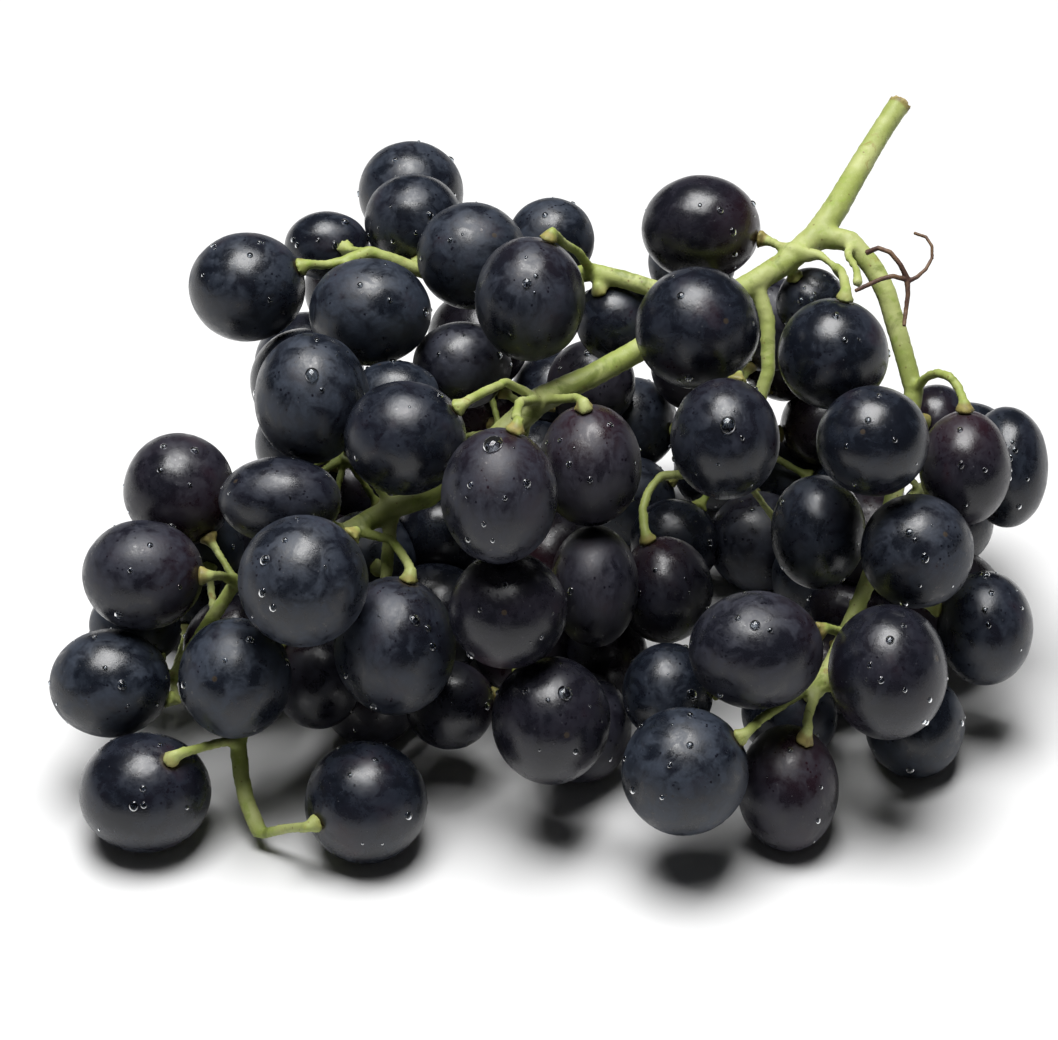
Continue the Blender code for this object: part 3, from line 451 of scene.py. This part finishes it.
def grape(berry, others):
    """A smooth berry: vertices in millimetres, faces, and the numbers that its skin's material reads."""
    sides = BERRY_SIDES if berry.node.startswith("berry_") else CLUSTER_BERRY_SIDES
    angles = np.radians(BERRY_RINGS[1:-1])
    turns = np.arange(sides) * math.tau / sides
    balls = [berry.axis]
    for angle in angles:
        flat = np.outer(np.cos(turns), berry.side) + np.outer(np.sin(turns), berry.third)
        balls.extend(berry.axis * math.cos(angle) + flat * math.sin(angle))
    balls.append(-berry.axis)
    balls = np.array(balls)
    spots, ways = berry.skin(balls)
    along = np.degrees(np.arccos(np.clip(balls @ berry.axis, -1.0, 1.0)))
    spots = spots + ways * skin_lift(berry, balls)[:, None]

    for other in others:
        deep = other.depth(spots) + CONTACT_ROOM
        if deep.max() <= 0.0:
            continue
        for _ in range(3):
            deep = other.depth(spots) - berry.depth(spots) + CONTACT_ROOM
            push = 0.5 * np.maximum(deep, 0.0) * (other.depth(spots) > -CONTACT_DEPTH)
            inward = unit(berry.middle - other.middle)
            spots = spots + inward * push[:, None]
    spots[:, 2] = np.maximum(spots[:, 2], BERRY_FLOOR)

    faces = []
    rings = len(angles)
    for k in range(sides):
        after = (k + 1) % sides
        faces.append((0, 1 + k, 1 + after))
        for ring in range(rings - 1):
            low = 1 + ring * sides
            high = low + sides
            faces.append((low + k, high + k, high + after, low + after))
        last = 1 + (rings - 1) * sides
        faces.append((last + after, last + k, len(balls) - 1))
    local = (balls @ np.stack((berry.side, berry.third, berry.axis), axis=1)) * berry.radius
    return spots, faces, local, along


def new_piece(name, spots, faces, smooth=True):
    """A mesh object from points in millimetres."""
    mesh = bpy.data.meshes.new(name)
    mesh.from_pydata((np.asarray(spots) * MM).tolist(), [], faces)
    mesh.validate()
    mesh.polygons.foreach_set("use_smooth", [smooth] * len(mesh.polygons))
    mesh.update()
    piece = bpy.data.objects.new(name, mesh)
    bpy.context.scene.collection.objects.link(piece)
    return piece


def vector_layer(mesh, name, values):
    layer = mesh.attributes.new(name, "FLOAT_VECTOR", "POINT")
    layer.data.foreach_set("vector", np.asarray(values, dtype=float).ravel())


def number_layer(mesh, name, values):
    layer = mesh.attributes.new(name, "FLOAT", "POINT")
    layer.data.foreach_set("value", np.asarray(values, dtype=float))


class Nodes:
    """A short way to write a material's nodes."""

    def __init__(self, name):
        self.material = bpy.data.materials.new(name)
        self.material.use_nodes = True
        self.tree = self.material.node_tree
        self.shader = self.tree.nodes["Principled BSDF"]

    def add(self, kind, **values):
        node = self.tree.nodes.new(kind)
        for key, value in values.items():
            setattr(node, key, value)
        return node

    def link(self, source, target):
        self.tree.links.new(source, target)

    def attribute(self, name, output="Vector"):
        return self.add("ShaderNodeAttribute", attribute_name=name).outputs[output]

    def shifted(self, vector, offset):
        node = self.add("ShaderNodeMapping")
        self.link(vector, node.inputs["Vector"])
        node.inputs["Location"].default_value = offset
        return node.outputs["Vector"]

    def noise(self, vector, size, detail=3.0, rough=0.5, warp=0.0):
        """Noise whose features are about size millimetres across."""
        node = self.add("ShaderNodeTexNoise")
        self.link(vector, node.inputs["Vector"])
        node.inputs["Scale"].default_value = 1.0 / size
        node.inputs["Detail"].default_value = detail
        node.inputs["Roughness"].default_value = rough
        node.inputs["Distortion"].default_value = warp
        return node.outputs["Fac"]

    def cells(self, vector, size):
        """The distance to the middle of the nearest of some cells about size millimetres across."""
        node = self.add("ShaderNodeTexVoronoi")
        self.link(vector, node.inputs["Vector"])
        node.inputs["Scale"].default_value = 1.0 / size
        return node.outputs["Distance"]

    def step(self, value, low, high, start=0.0, end=1.0):
        """A smooth step from start to end as value goes from low to high."""
        node = self.add("ShaderNodeMapRange", interpolation_type="SMOOTHSTEP")
        self.link(value, node.inputs["Value"])
        node.inputs["From Min"].default_value = low
        node.inputs["From Max"].default_value = high
        node.inputs["To Min"].default_value = start
        node.inputs["To Max"].default_value = end
        return node.outputs["Result"]

    def math(self, how, first, second):
        node = self.add("ShaderNodeMath", operation=how)
        for socket, value in zip(node.inputs, (first, second)):
            if isinstance(value, (int, float)):
                socket.default_value = value
            else:
                self.link(value, socket)
        return node.outputs["Value"]

    def mix(self, part, first, second):
        """A mix of two colours, each a constant or a socket. The node's sockets 6 and 7 take them."""
        node = self.add("ShaderNodeMix", data_type="RGBA")
        self.link(part, node.inputs["Factor"])
        for socket, value in ((node.inputs[6], first), (node.inputs[7], second)):
            if isinstance(value, tuple):
                socket.default_value = value + (1.0,)
            else:
                self.link(value, socket)
        return node.outputs[2]

    def bump(self, height, distance, strength, before=None):
        node = self.add("ShaderNodeBump")
        self.link(height, node.inputs["Height"])
        node.inputs["Distance"].default_value = distance * MM
        node.inputs["Strength"].default_value = strength
        if before is not None:
            self.link(before, node.inputs["Normal"])
        return node.outputs["Normal"]


def skin_material():
    """Blue-black skin under a dusty grey-blue bloom that is rubbed thin in blotches."""
    n = Nodes("grape_skin")
    local = n.attribute("skin_place")
    tint = n.attribute("skin_tint", "Fac")
    dusty = n.attribute("skin_bloom", "Fac")
    along = n.attribute("skin_along", "Fac")

    broad = n.noise(local, 9.0, detail=2.0, rough=0.5)
    cloudy = n.noise(local, 3.6, detail=4.0, rough=0.6, warp=0.6)
    mottled = n.noise(local, 1.3, detail=5.0, rough=0.65)
    grain = n.noise(local, 0.32, detail=3.0, rough=0.7)

    deep = n.mix(n.step(broad, 0.40, 0.62), SKIN_DEEP, SKIN_DEEP_VIOLET)
    red_side = n.math("MULTIPLY", n.step(along, 85.0, 12.0), n.step(tint, 0.40, 0.90))
    red_patch = n.math("MULTIPLY", n.step(broad, 0.60, 0.74), 0.7)
    red = n.math("MAXIMUM", red_side, red_patch)
    deep = n.mix(n.math("MULTIPLY", red, 0.8), deep, SKIN_RED)

    rubbed = n.step(n.math("ADD", cloudy, n.math("MULTIPLY", broad, 0.8)), 0.70, 1.06, 1.0, 0.0)
    smear = n.step(mottled, 0.30, 0.66, 0.70, 1.0)
    cover = n.math("MULTIPLY", n.step(dusty, 0.0, 1.0, 0.45, 0.95), smear)
    cover = n.math("MULTIPLY", cover, n.math("SUBTRACT", 1.0, n.math("MULTIPLY", rubbed, 0.68)))
    specks = n.step(n.cells(local, 1.05), 0.16, 0.34, 1.0, 0.0)
    some = n.step(n.noise(local, 3.4, detail=2.0), 0.53, 0.62)
    wet = n.math("MULTIPLY", specks, some)
    cover = n.math("MULTIPLY", cover, n.math("SUBTRACT", 1.0, n.math("MULTIPLY", wet, 0.8)))
    cover = n.math("MULTIPLY", cover, n.step(grain, 0.25, 0.75, 0.80, 1.10))
    dust = n.mix(n.step(cloudy, 0.35, 0.65), DUST_THIN, DUST_THICK)
    dust = n.mix(n.step(tint, 0.40, 0.95, 0.0, 0.75), dust, DUST_VIOLET)
    colour = n.mix(cover, deep, dust)

    pale = n.step(n.cells(n.shifted(local, (7.3, 2.1, 4.4)), 2.1), 0.035, 0.075, 0.5, 0.0)
    colour = n.mix(pale, colour, SKIN_DOTS)
    collar = n.step(along, 7.0, 12.0, 0.7, 0.0)
    colour = n.mix(collar, colour, SKIN_STAIN)
    scar = n.step(along, 176.8, 177.8)
    colour = n.mix(scar, colour, SKIN_SCAR)
    n.link(colour, n.shader.inputs["Base Color"])

    rough = n.step(cover, 0.08, 0.80, 0.22, 0.53)
    n.link(rough, n.shader.inputs["Roughness"])
    n.shader.inputs["IOR"].default_value = SKIN_IOR
    n.shader.inputs["Specular IOR Level"].default_value = 0.55
    n.shader.inputs["Metallic"].default_value = 0.0
    fine = n.bump(grain, 0.035, 0.5)
    coarse = n.bump(mottled, 0.10, 0.5, before=fine)
    n.link(coarse, n.shader.inputs["Normal"])
    return n.material


def stem_material():
    """Yellow-green stem with worn and rusty patches, tan at the berries, and pith at its cut end."""
    n = Nodes("green_stem")
    place = n.attribute("stem_place")
    brown = n.attribute("stem_brown", "Fac")
    cut = n.attribute("stem_cut", "Fac")
    broad = n.noise(place, 11.0, detail=2.0)
    patchy = n.noise(place, 2.4, detail=4.0, rough=0.6, warp=0.4)
    grain = n.noise(place, 0.45, detail=4.0, rough=0.65)
    green = n.mix(n.step(broad, 0.38, 0.64), STEM_GREEN, STEM_YELLOW)
    green = n.mix(n.step(patchy, 0.52, 0.72, 0.0, 0.6), green, STEM_FRESH)
    green = n.mix(n.step(grain, 0.55, 0.75, 0.0, 0.35), green, STEM_STREAK)
    worn = n.noise(n.shifted(place, (31.0, 12.0, 5.0)), 7.0, detail=5.0, rough=0.65, warp=0.8)
    green = n.mix(n.step(worn, 0.54, 0.68, 0.0, 0.75), green, STEM_WORN)
    rusty = n.noise(n.shifted(place, (4.0, 41.0, 23.0)), 5.0, detail=5.0, rough=0.7, warp=0.5)
    green = n.mix(n.step(rusty, 0.60, 0.70, 0.0, 0.70), green, STEM_RUSTY)
    tan = n.mix(n.step(patchy, 0.35, 0.65), STEM_TAN_DARK, STEM_TAN)
    edge = n.math("ADD", brown, n.math("MULTIPLY", n.math("SUBTRACT", patchy, 0.5), 0.7))
    colour = n.mix(n.step(edge, 0.35, 0.80, 0.0, 0.9), green, tan)
    freckles = n.step(n.cells(place, 2.0), 0.06, 0.14, 0.7, 0.0)
    colour = n.mix(freckles, colour, STEM_FRECKLE)
    pith = n.mix(n.step(grain, 0.4, 0.6), PITH_DARK, PITH_PALE)
    colour = n.mix(cut, colour, pith)
    n.link(colour, n.shader.inputs["Base Color"])
    n.link(n.step(patchy, 0.3, 0.7, 0.46, 0.66), n.shader.inputs["Roughness"])
    n.shader.inputs["IOR"].default_value = STEM_IOR
    fine = n.bump(grain, 0.06, 0.6)
    n.link(n.bump(patchy, 0.15, 0.6, before=fine), n.shader.inputs["Normal"])
    return n.material


def tendril_material():
    """Dry red-brown."""
    n = Nodes("dried_tendril")
    place = n.attribute("stem_place")
    patchy = n.noise(place, 3.0, detail=4.0, rough=0.6)
    grain = n.noise(place, 0.35, detail=4.0, rough=0.6)
    colour = n.mix(n.step(patchy, 0.36, 0.62), TENDRIL_RED, TENDRIL_TAN)
    colour = n.mix(n.step(grain, 0.5, 0.7, 0.0, 0.5), colour, TENDRIL_DARK)
    n.link(colour, n.shader.inputs["Base Color"])
    n.link(n.step(grain, 0.3, 0.7, 0.55, 0.75), n.shader.inputs["Roughness"])
    n.link(n.bump(grain, 0.05, 0.7), n.shader.inputs["Normal"])
    return n.material


def water_material():
    """Clear water, a little dark so that a drop shows on the dark skin."""
    material = bpy.data.materials.new("water")
    material.use_nodes = True
    shader = material.node_tree.nodes["Principled BSDF"]
    shader.inputs["Base Color"].default_value = WATER
    shader.inputs["Transmission Weight"].default_value = 1.0
    shader.inputs["IOR"].default_value = WATER_IOR
    shader.inputs["Roughness"].default_value = 0.02
    return material


def build_berries(berries):
    material = skin_material()
    for berry in berries:
        near = []
        for other in berries:
            reach = berry.radius + other.radius + CONTACT_REACH
            if other is not berry and np.linalg.norm(other.middle - berry.middle) < reach:
                near.append(other)
        spots, faces, local, along = grape(berry, near)
        piece = new_piece(f"{berry.name}_skin", spots, faces)
        mesh = piece.data
        vector_layer(mesh, "skin_place", local + berry.salt * 3.0)
        number_layer(mesh, "skin_along", along)
        number_layer(mesh, "skin_tint", np.full(len(spots), berry.tint))
        number_layer(mesh, "skin_bloom", np.full(len(spots), berry.bloom))
        mesh.materials.append(material)
        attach(piece, "root")
        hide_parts(berry.node)


def add_collar(bm, middle, way):
    """Adds a small flattened ball with its short axis along way."""
    side = unit(np.cross(way, SKEW))
    third = np.cross(way, side)
    top = bm.verts.new((middle + way * COLLAR_HEIGHT) * MM)
    bottom = bm.verts.new((middle - way * COLLAR_HEIGHT) * MM)
    loops = []
    for angle in COLLAR_LOOPS:
        tilt = math.radians(angle)
        loop = []
        for k in range(COLLAR_SIDES):
            turn = math.tau * k / COLLAR_SIDES
            flat = side * math.cos(turn) + third * math.sin(turn)
            rise = way * COLLAR_HEIGHT * math.cos(tilt)
            spot = middle + rise + flat * COLLAR_RADIUS * math.sin(tilt)
            loop.append(bm.verts.new(spot * MM))
        loops.append(loop)
    for k in range(COLLAR_SIDES):
        after = (k + 1) % COLLAR_SIDES
        bm.faces.new((top, loops[0][k], loops[0][after]))
        bm.faces.new((bottom, loops[-1][after], loops[-1][k]))
        for upper, lower in zip(loops[:-1], loops[1:]):
            bm.faces.new((upper[k], lower[k], lower[after], upper[after]))


def fine_mesh(name, bm, voxel):
    """Remeshes a shape into small even faces."""
    mesh = bpy.data.meshes.new(name)
    bm.to_mesh(mesh)
    bm.free()
    rough = bpy.data.objects.new(name, mesh)
    bpy.context.scene.collection.objects.link(rough)
    remesh = rough.modifiers.new("even", "REMESH")
    remesh.mode = "VOXEL"
    remesh.voxel_size = voxel * MM
    graph = bpy.context.evaluated_depsgraph_get()
    fine = bpy.data.meshes.new_from_object(rough.evaluated_get(graph))
    bpy.data.objects.remove(rough)
    return fine


class Skin:
    """A fine mesh as arrays: smoothing, normals and moving."""

    def __init__(self, mesh):
        self.mesh = mesh
        self.spots = np.empty(len(mesh.vertices) * 3)
        mesh.vertices.foreach_get("co", self.spots)
        self.spots = self.spots.reshape(-1, 3) / MM
        edges = np.empty(len(mesh.edges) * 2, dtype=int)
        mesh.edges.foreach_get("vertices", edges)
        self.edges = edges.reshape(-1, 2)
        self.count = np.bincount(self.edges.ravel(), minlength=len(self.spots))[:, None]

    def around(self, values):
        """Each vertex's average over the vertices that it shares an edge with."""
        total = np.zeros_like(values)
        for axis in range(values.shape[1]):
            total[:, axis] += np.bincount(
                self.edges[:, 0], values[self.edges[:, 1], axis], len(values)
            )
            total[:, axis] += np.bincount(
                self.edges[:, 1], values[self.edges[:, 0], axis], len(values)
            )
        return total / np.maximum(1, self.count)

    def smooth(self, times, part=0.5):
        for _ in range(times):
            self.spots += part * (self.around(self.spots) - self.spots)

    def write(self):
        self.mesh.vertices.foreach_set("co", (self.spots * MM).ravel())
        self.mesh.update()

    def normals(self):
        self.write()
        found = np.empty(len(self.spots) * 3)
        self.mesh.vertex_normals.foreach_get("vector", found)
        return found.reshape(-1, 3)


def cut_end():
    """The middle of the stalk's cut face, the face at the highest point of the stem, and its way out."""
    faces = Faces("stem")
    high = faces.middles[:, 2] > faces.middles[:, 2].max() - CUT_SEARCH
    spots = faces.middles[high]
    normals = faces.normals[high]
    areas = faces.areas[high]
    offsets = (spots * normals).sum(axis=1)
    same_way = normals @ normals.T > CUT_SAME_WAY
    same = same_way & (np.abs(offsets[:, None] - offsets[None]) < CUT_SAME_PLANE)
    best = same[np.argmax(same.sum(axis=1))]
    way = unit(normals[best].mean(axis=0))
    return (spots[best] * areas[best, None]).sum(axis=0) / areas[best].sum(), way


def shape_cut_end(skin):
    """Flattens and flares the stalk's cut end. Gives each vertex's pith and brown from it."""
    middle, way = cut_end()
    beyond = (skin.spots - middle) @ way
    face = (np.linalg.norm(skin.spots - middle, axis=1) < CUT_RADIUS) & (beyond > -CUT_FACE_DEPTH)
    skin.spots[face] -= np.outer(beyond[face] + CUT_BACK, way)
    inward = (middle - skin.spots) @ way
    outward = skin.spots - middle + np.outer(inward, way)
    from_axis = np.linalg.norm(outward, axis=1)
    rim = (from_axis < CUT_RADIUS) & (inward > CUT_RIM[0]) & (inward < CUT_RIM[1])
    fading = np.exp(-np.maximum(inward, 0.0) / CUT_FLARE_LENGTH)
    skin.spots += outward * np.where(rim, CUT_FLARE * fading, 0.0)[:, None]
    pith = np.where(rim & (inward < CUT_PITH_DEPTH), 1.0, 0.0)
    return pith, np.where(rim, soft_step(inward, CUT_BROWN[1], CUT_BROWN[0]), 0.0)


def brown_at_berries(berries, tips, spots):
    """How brown the stem is at each point: near a berry, and more so at some berries than others."""
    gaps = np.array([np.linalg.norm(spots - tip, axis=1) for tip in tips])
    dry = np.array([berry.tint for berry in berries])[np.argmin(gaps, axis=0)]
    near = soft_step(gaps.min(axis=0), BROWN_REACH[1], BROWN_REACH[0])
    return near * (BROWN_LEAST + (1.0 - BROWN_LEAST) * dry)


def finish_piece(skin, name, material):
    """Makes a fine mesh the smooth piece NAME_skin, which stands for the node of that name."""
    skin.write()
    mesh = skin.mesh
    mesh.polygons.foreach_set("use_smooth", [True] * len(mesh.polygons))
    piece = bpy.data.objects.new(f"{name}_skin", mesh)
    bpy.context.scene.collection.objects.link(piece)
    vector_layer(mesh, "stem_place", skin.spots)
    mesh.materials.clear()
    mesh.materials.append(material)
    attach(piece, "root")
    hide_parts(name)


def build_stem(berries):
    bm = merged("stem")
    tips = []
    for berry in berries:
        spots, ways = berry.skin(berry.axis[None])
        tips.append(spots[0])
        add_collar(bm, spots[0] + ways[0] * COLLAR_LIFT, ways[0])
    skin = Skin(fine_mesh("stem_skin", bm, STEM_VOXEL))
    skin.smooth(STEM_SMOOTHING)
    ways = skin.normals()
    knobs = noise_at(skin.spots, STEM_KNOBBLE_SIZE, np.array((3.0, 5.0, 7.0)))
    fine_knobs = noise_at(skin.spots, FINE_KNOBBLE_SIZE, np.array((9.0, 2.0, 4.0)))
    lift = STEM_SWELL + STEM_KNOBBLE * knobs
    lift += FINE_KNOBBLE_SHARE * STEM_KNOBBLE * fine_knobs
    skin.spots += ways * lift[:, None]
    skin.spots[:, 2] = np.maximum(skin.spots[:, 2], STEM_FLOOR)

    brown = brown_at_berries(berries, tips, skin.spots)
    pith, rim_brown = shape_cut_end(skin)
    number_layer(skin.mesh, "stem_brown", np.maximum(brown, rim_brown))
    number_layer(skin.mesh, "stem_cut", pith)
    finish_piece(skin, "stem", stem_material())


def build_tendril():
    skin = Skin(fine_mesh("tendril_skin", merged("tendril"), TENDRIL_VOXEL))
    skin.smooth(TENDRIL_SMOOTHING)
    knobs = noise_at(skin.spots, TENDRIL_KNOBBLE_SIZE, np.array((1.0, 8.0, 6.0)))
    lift = TENDRIL_SWELL + TENDRIL_KNOBBLE * knobs
    skin.spots += skin.normals() * lift[:, None]
    finish_piece(skin, "tendril", tendril_material())


def sight_line(x, y):
    """The camera's place and the way that it looks through a pixel of the photograph."""
    up = np.array((0.0, math.sin(VIEW_TILT), math.cos(VIEW_TILT)))
    across = np.array((1.0, 0.0, 0.0)) * (x - PHOTO_WIDTH / 2)
    way = across + up * (PHOTO_HEIGHT / 2 - y) - VIEW_TOWARD * FOCAL_PIXELS
    return VIEW_MIDDLE + VIEW_TOWARD * VIEW_DISTANCE, unit(way)


def first_hit(berries, start, way):
    """The first berry on a line, and the direction of the hit on the berry's unit ball."""
    best = None
    for berry in berries:
        inner = berry.turned @ (start - berry.middle)
        step = berry.turned @ way
        a = step @ step
        b = inner @ step
        c = inner @ inner - 1.0
        room = b * b - a * c
        if room <= 0.0:
            continue
        t = (-b - math.sqrt(room)) / a
        if t > 0.0 and (best is None or t < best[0]):
            best = (t, berry, unit(inner + step * t))
    return best


def drop(spots, faces, berry, ball, radius, rng):
    """Adds a drop: a low dome that sags a little down the skin and ends just under it."""
    skin_spots, skin_ways = berry.skin(ball[None])
    way = skin_ways[0]
    middle = skin_spots[0] + way * skin_lift(berry, ball[None])[0]
    down = np.array((0.0, 0.0, -1.0)) + way * way[2]
    steep = np.linalg.norm(down)
    down = down / steep if steep > 1e-3 else unit(np.cross(way, (1.0, 0.0, 0.0)))
    side = np.cross(way, down)
    sag = DROP_SAG * min(1.0, steep) * radius
    high = radius * DROP_HEIGHT * rng.uniform(*DROP_HEIGHT_SPREAD)
    long = radius * rng.uniform(*DROP_LENGTH)
    rim = []
    for k in range(DROP_SIDES):
        turn = math.tau * k / DROP_SIDES
        rim.append(side * radius * math.cos(turn) + down * long * math.sin(turn))

    start = len(spots)
    spots.append(middle + way * high + down * sag)
    for angle in DROP_RINGS:
        wide = math.sin(math.radians(angle))
        rise = math.cos(math.radians(angle))
        for flat in rim:
            spots.append(middle + flat * wide + way * high * rise + down * sag * rise)
    bend = radius * radius / (2.0 * berry.radius)
    for flat in rim:
        spots.append(middle + flat * DROP_FOOT - way * (DROP_SINK + bend))
    spots.append(middle - way * (DROP_SINK + DROP_FOOT_DEPTH))

    first = start + 1
    foot = first + len(DROP_RINGS) * DROP_SIDES
    for k in range(DROP_SIDES):
        after = (k + 1) % DROP_SIDES
        faces.append((start, first + k, first + after))
        for upper in range(first, foot, DROP_SIDES):
            lower = upper + DROP_SIDES
            faces.append((upper + k, lower + k, lower + after, upper + after))
        faces.append((foot + after, foot + k, len(spots) - 1))


def clear_of_others(berries, berry, spot, room):
    """Whether a spot on a berry's skin stands clear of every other berry."""
    for other in berries:
        if other is not berry and other.depth(spot[None])[0] > -room:
            return False
    return spot[2] > DROP_ABOVE_FLOOR


def seen_drops(berries):
    """The drops listed one by one: the berry that each is on, its direction there and its radius."""
    placed = []
    for x, y, radius in DROPS:
        hit = first_hit(berries, *sight_line(x, y))
        if hit is not None:
            placed.append((hit[1], hit[2], radius))
    return placed


def strewn_drops(berries, rng):
    """The drops placed by rule, on all sides of the bunch, in the form of seen_drops."""
    placed = []
    for berry in berries:
        for _ in range(DROPS_PER_BERRY):
            ball = unit(np.array([rng.gauss(0, 1) for _ in range(3)]))
            share = rng.random() ** DROP_SMALLNESS
            radius = DROP_RADIUS[0] + (DROP_RADIUS[1] - DROP_RADIUS[0]) * share
            if ball[2] < DROP_LOWEST or ball @ berry.axis > DROP_OFF_STEM:
                continue
            spot = berry.skin(ball[None])[0][0]
            if clear_of_others(berries, berry, spot, radius + DROP_EDGE):
                placed.append((berry, ball, radius))
    return placed


def build_drops(berries):
    rng = random.Random(SEED + 1)
    kept = []
    for berry, ball, radius in seen_drops(berries) + strewn_drops(berries, rng):
        spot = berry.skin(ball[None])[0][0]
        if all(np.linalg.norm(spot - other) > radius + size + DROP_ROOM for other, size in kept):
            kept.append((spot, radius))
            berry.drops.append((ball, radius))
    material = water_material()
    for name, first, last in DROP_PIECES:
        spots = []
        faces = []
        for berry in berries:
            if first <= berry.middle[0] < last:
                for ball, radius in berry.drops:
                    drop(spots, faces, berry, ball, radius, rng)
        piece = new_piece(f"water_drops_{name}", spots, faces)
        piece.data.materials.append(material)
        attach(piece, "root")


def build_softbox():
    """The one light: an area light above the bunch that faces it."""
    lamp = bpy.data.lights.new("softbox_top", "AREA")
    lamp.shape = "RECTANGLE"
    lamp.size = SOFTBOX_SIZE[0] * MM
    lamp.size_y = SOFTBOX_SIZE[1] * MM
    lamp.energy = SOFTBOX_POWER
    holder = bpy.data.objects.new("softbox_top", lamp)
    bpy.context.scene.collection.objects.link(holder)
    holder.location = Vector(SOFTBOX_PLACE) * MM
    way = (Vector(SOFTBOX_AIM) - Vector(SOFTBOX_PLACE)).normalized()
    holder.rotation_euler = way.to_track_quat("-Z", "Y").to_euler()


def build_floor():
    """A pale floor in rings. Far out, where the softbox doesn't reach, it glows to stay as pale."""
    spots = [(0.0, 0.0, 0.0)]
    faces = []
    glows = [0.0]
    for radius, glow in FLOOR_RINGS:
        for k in range(FLOOR_SIDES):
            turn = math.tau * k / FLOOR_SIDES
            spots.append((radius * math.cos(turn), radius * math.sin(turn), 0.0))
            glows.append(glow)
    for k in range(FLOOR_SIDES):
        after = (k + 1) % FLOOR_SIDES
        faces.append((0, 1 + k, 1 + after))
        for ring in range(len(FLOOR_RINGS) - 1):
            low = 1 + ring * FLOOR_SIDES
            high = low + FLOOR_SIDES
            faces.append((low + k, high + k, high + after, low + after))
    floor = new_piece("floor", spots, faces, smooth=False)
    number_layer(floor.data, "floor_glow", glows)
    n = Nodes("pale_floor")
    n.shader.inputs["Base Color"].default_value = FLOOR_COLOUR
    n.shader.inputs["Roughness"].default_value = 0.7
    n.shader.inputs["Emission Color"].default_value = (1.0, 1.0, 1.0, 1.0)
    n.link(n.attribute("floor_glow", "Fac"), n.shader.inputs["Emission Strength"])
    floor.data.materials.append(n.material)


def build_world():
    """A dark studio that lights very little, with a pale backdrop behind the floor's far edge."""
    world = bpy.data.worlds.new("studio")
    world.use_nodes = True
    tree = world.node_tree
    seen = tree.nodes.new("ShaderNodeLightPath").outputs["Is Camera Ray"]
    level = tree.nodes.new("ShaderNodeMapRange")
    tree.links.new(seen, level.inputs["Value"])
    level.inputs["To Min"].default_value = WORLD_FILL
    level.inputs["To Max"].default_value = WORLD_SEEN
    background = tree.nodes["Background"]
    background.inputs["Color"].default_value = (1.0, 1.0, 1.0, 1.0)
    tree.links.new(level.outputs["Result"], background.inputs["Strength"])
    bpy.context.scene.world = world


def build_studio():
    scene = bpy.context.scene
    camera = bpy.data.cameras.new("camera")
    camera.sensor_width = SENSOR_WIDTH
    camera.lens = FOCAL_PIXELS / PHOTO_WIDTH * SENSOR_WIDTH
    camera.clip_start = 0.01
    holder = bpy.data.objects.new("camera", camera)
    scene.collection.objects.link(holder)
    holder.location = (VIEW_MIDDLE + VIEW_TOWARD * VIEW_DISTANCE) * MM
    holder.rotation_euler = (math.pi / 2 - VIEW_TILT, 0.0, 0.0)
    scene.camera = holder

    build_floor()
    build_world()
    build_softbox()
    scene.view_settings.view_transform = "Standard"


def main():
    berries = read_berries()
    build_studio()
    build_berries(berries)
    build_stem(berries)
    build_tendril()
    build_drops(berries)


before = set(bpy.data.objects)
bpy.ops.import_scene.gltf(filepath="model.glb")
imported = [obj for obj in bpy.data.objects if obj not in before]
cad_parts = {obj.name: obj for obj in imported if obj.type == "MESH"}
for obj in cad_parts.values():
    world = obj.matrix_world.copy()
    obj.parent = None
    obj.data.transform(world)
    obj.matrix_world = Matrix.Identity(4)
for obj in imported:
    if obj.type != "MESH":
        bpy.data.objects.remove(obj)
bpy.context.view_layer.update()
main()
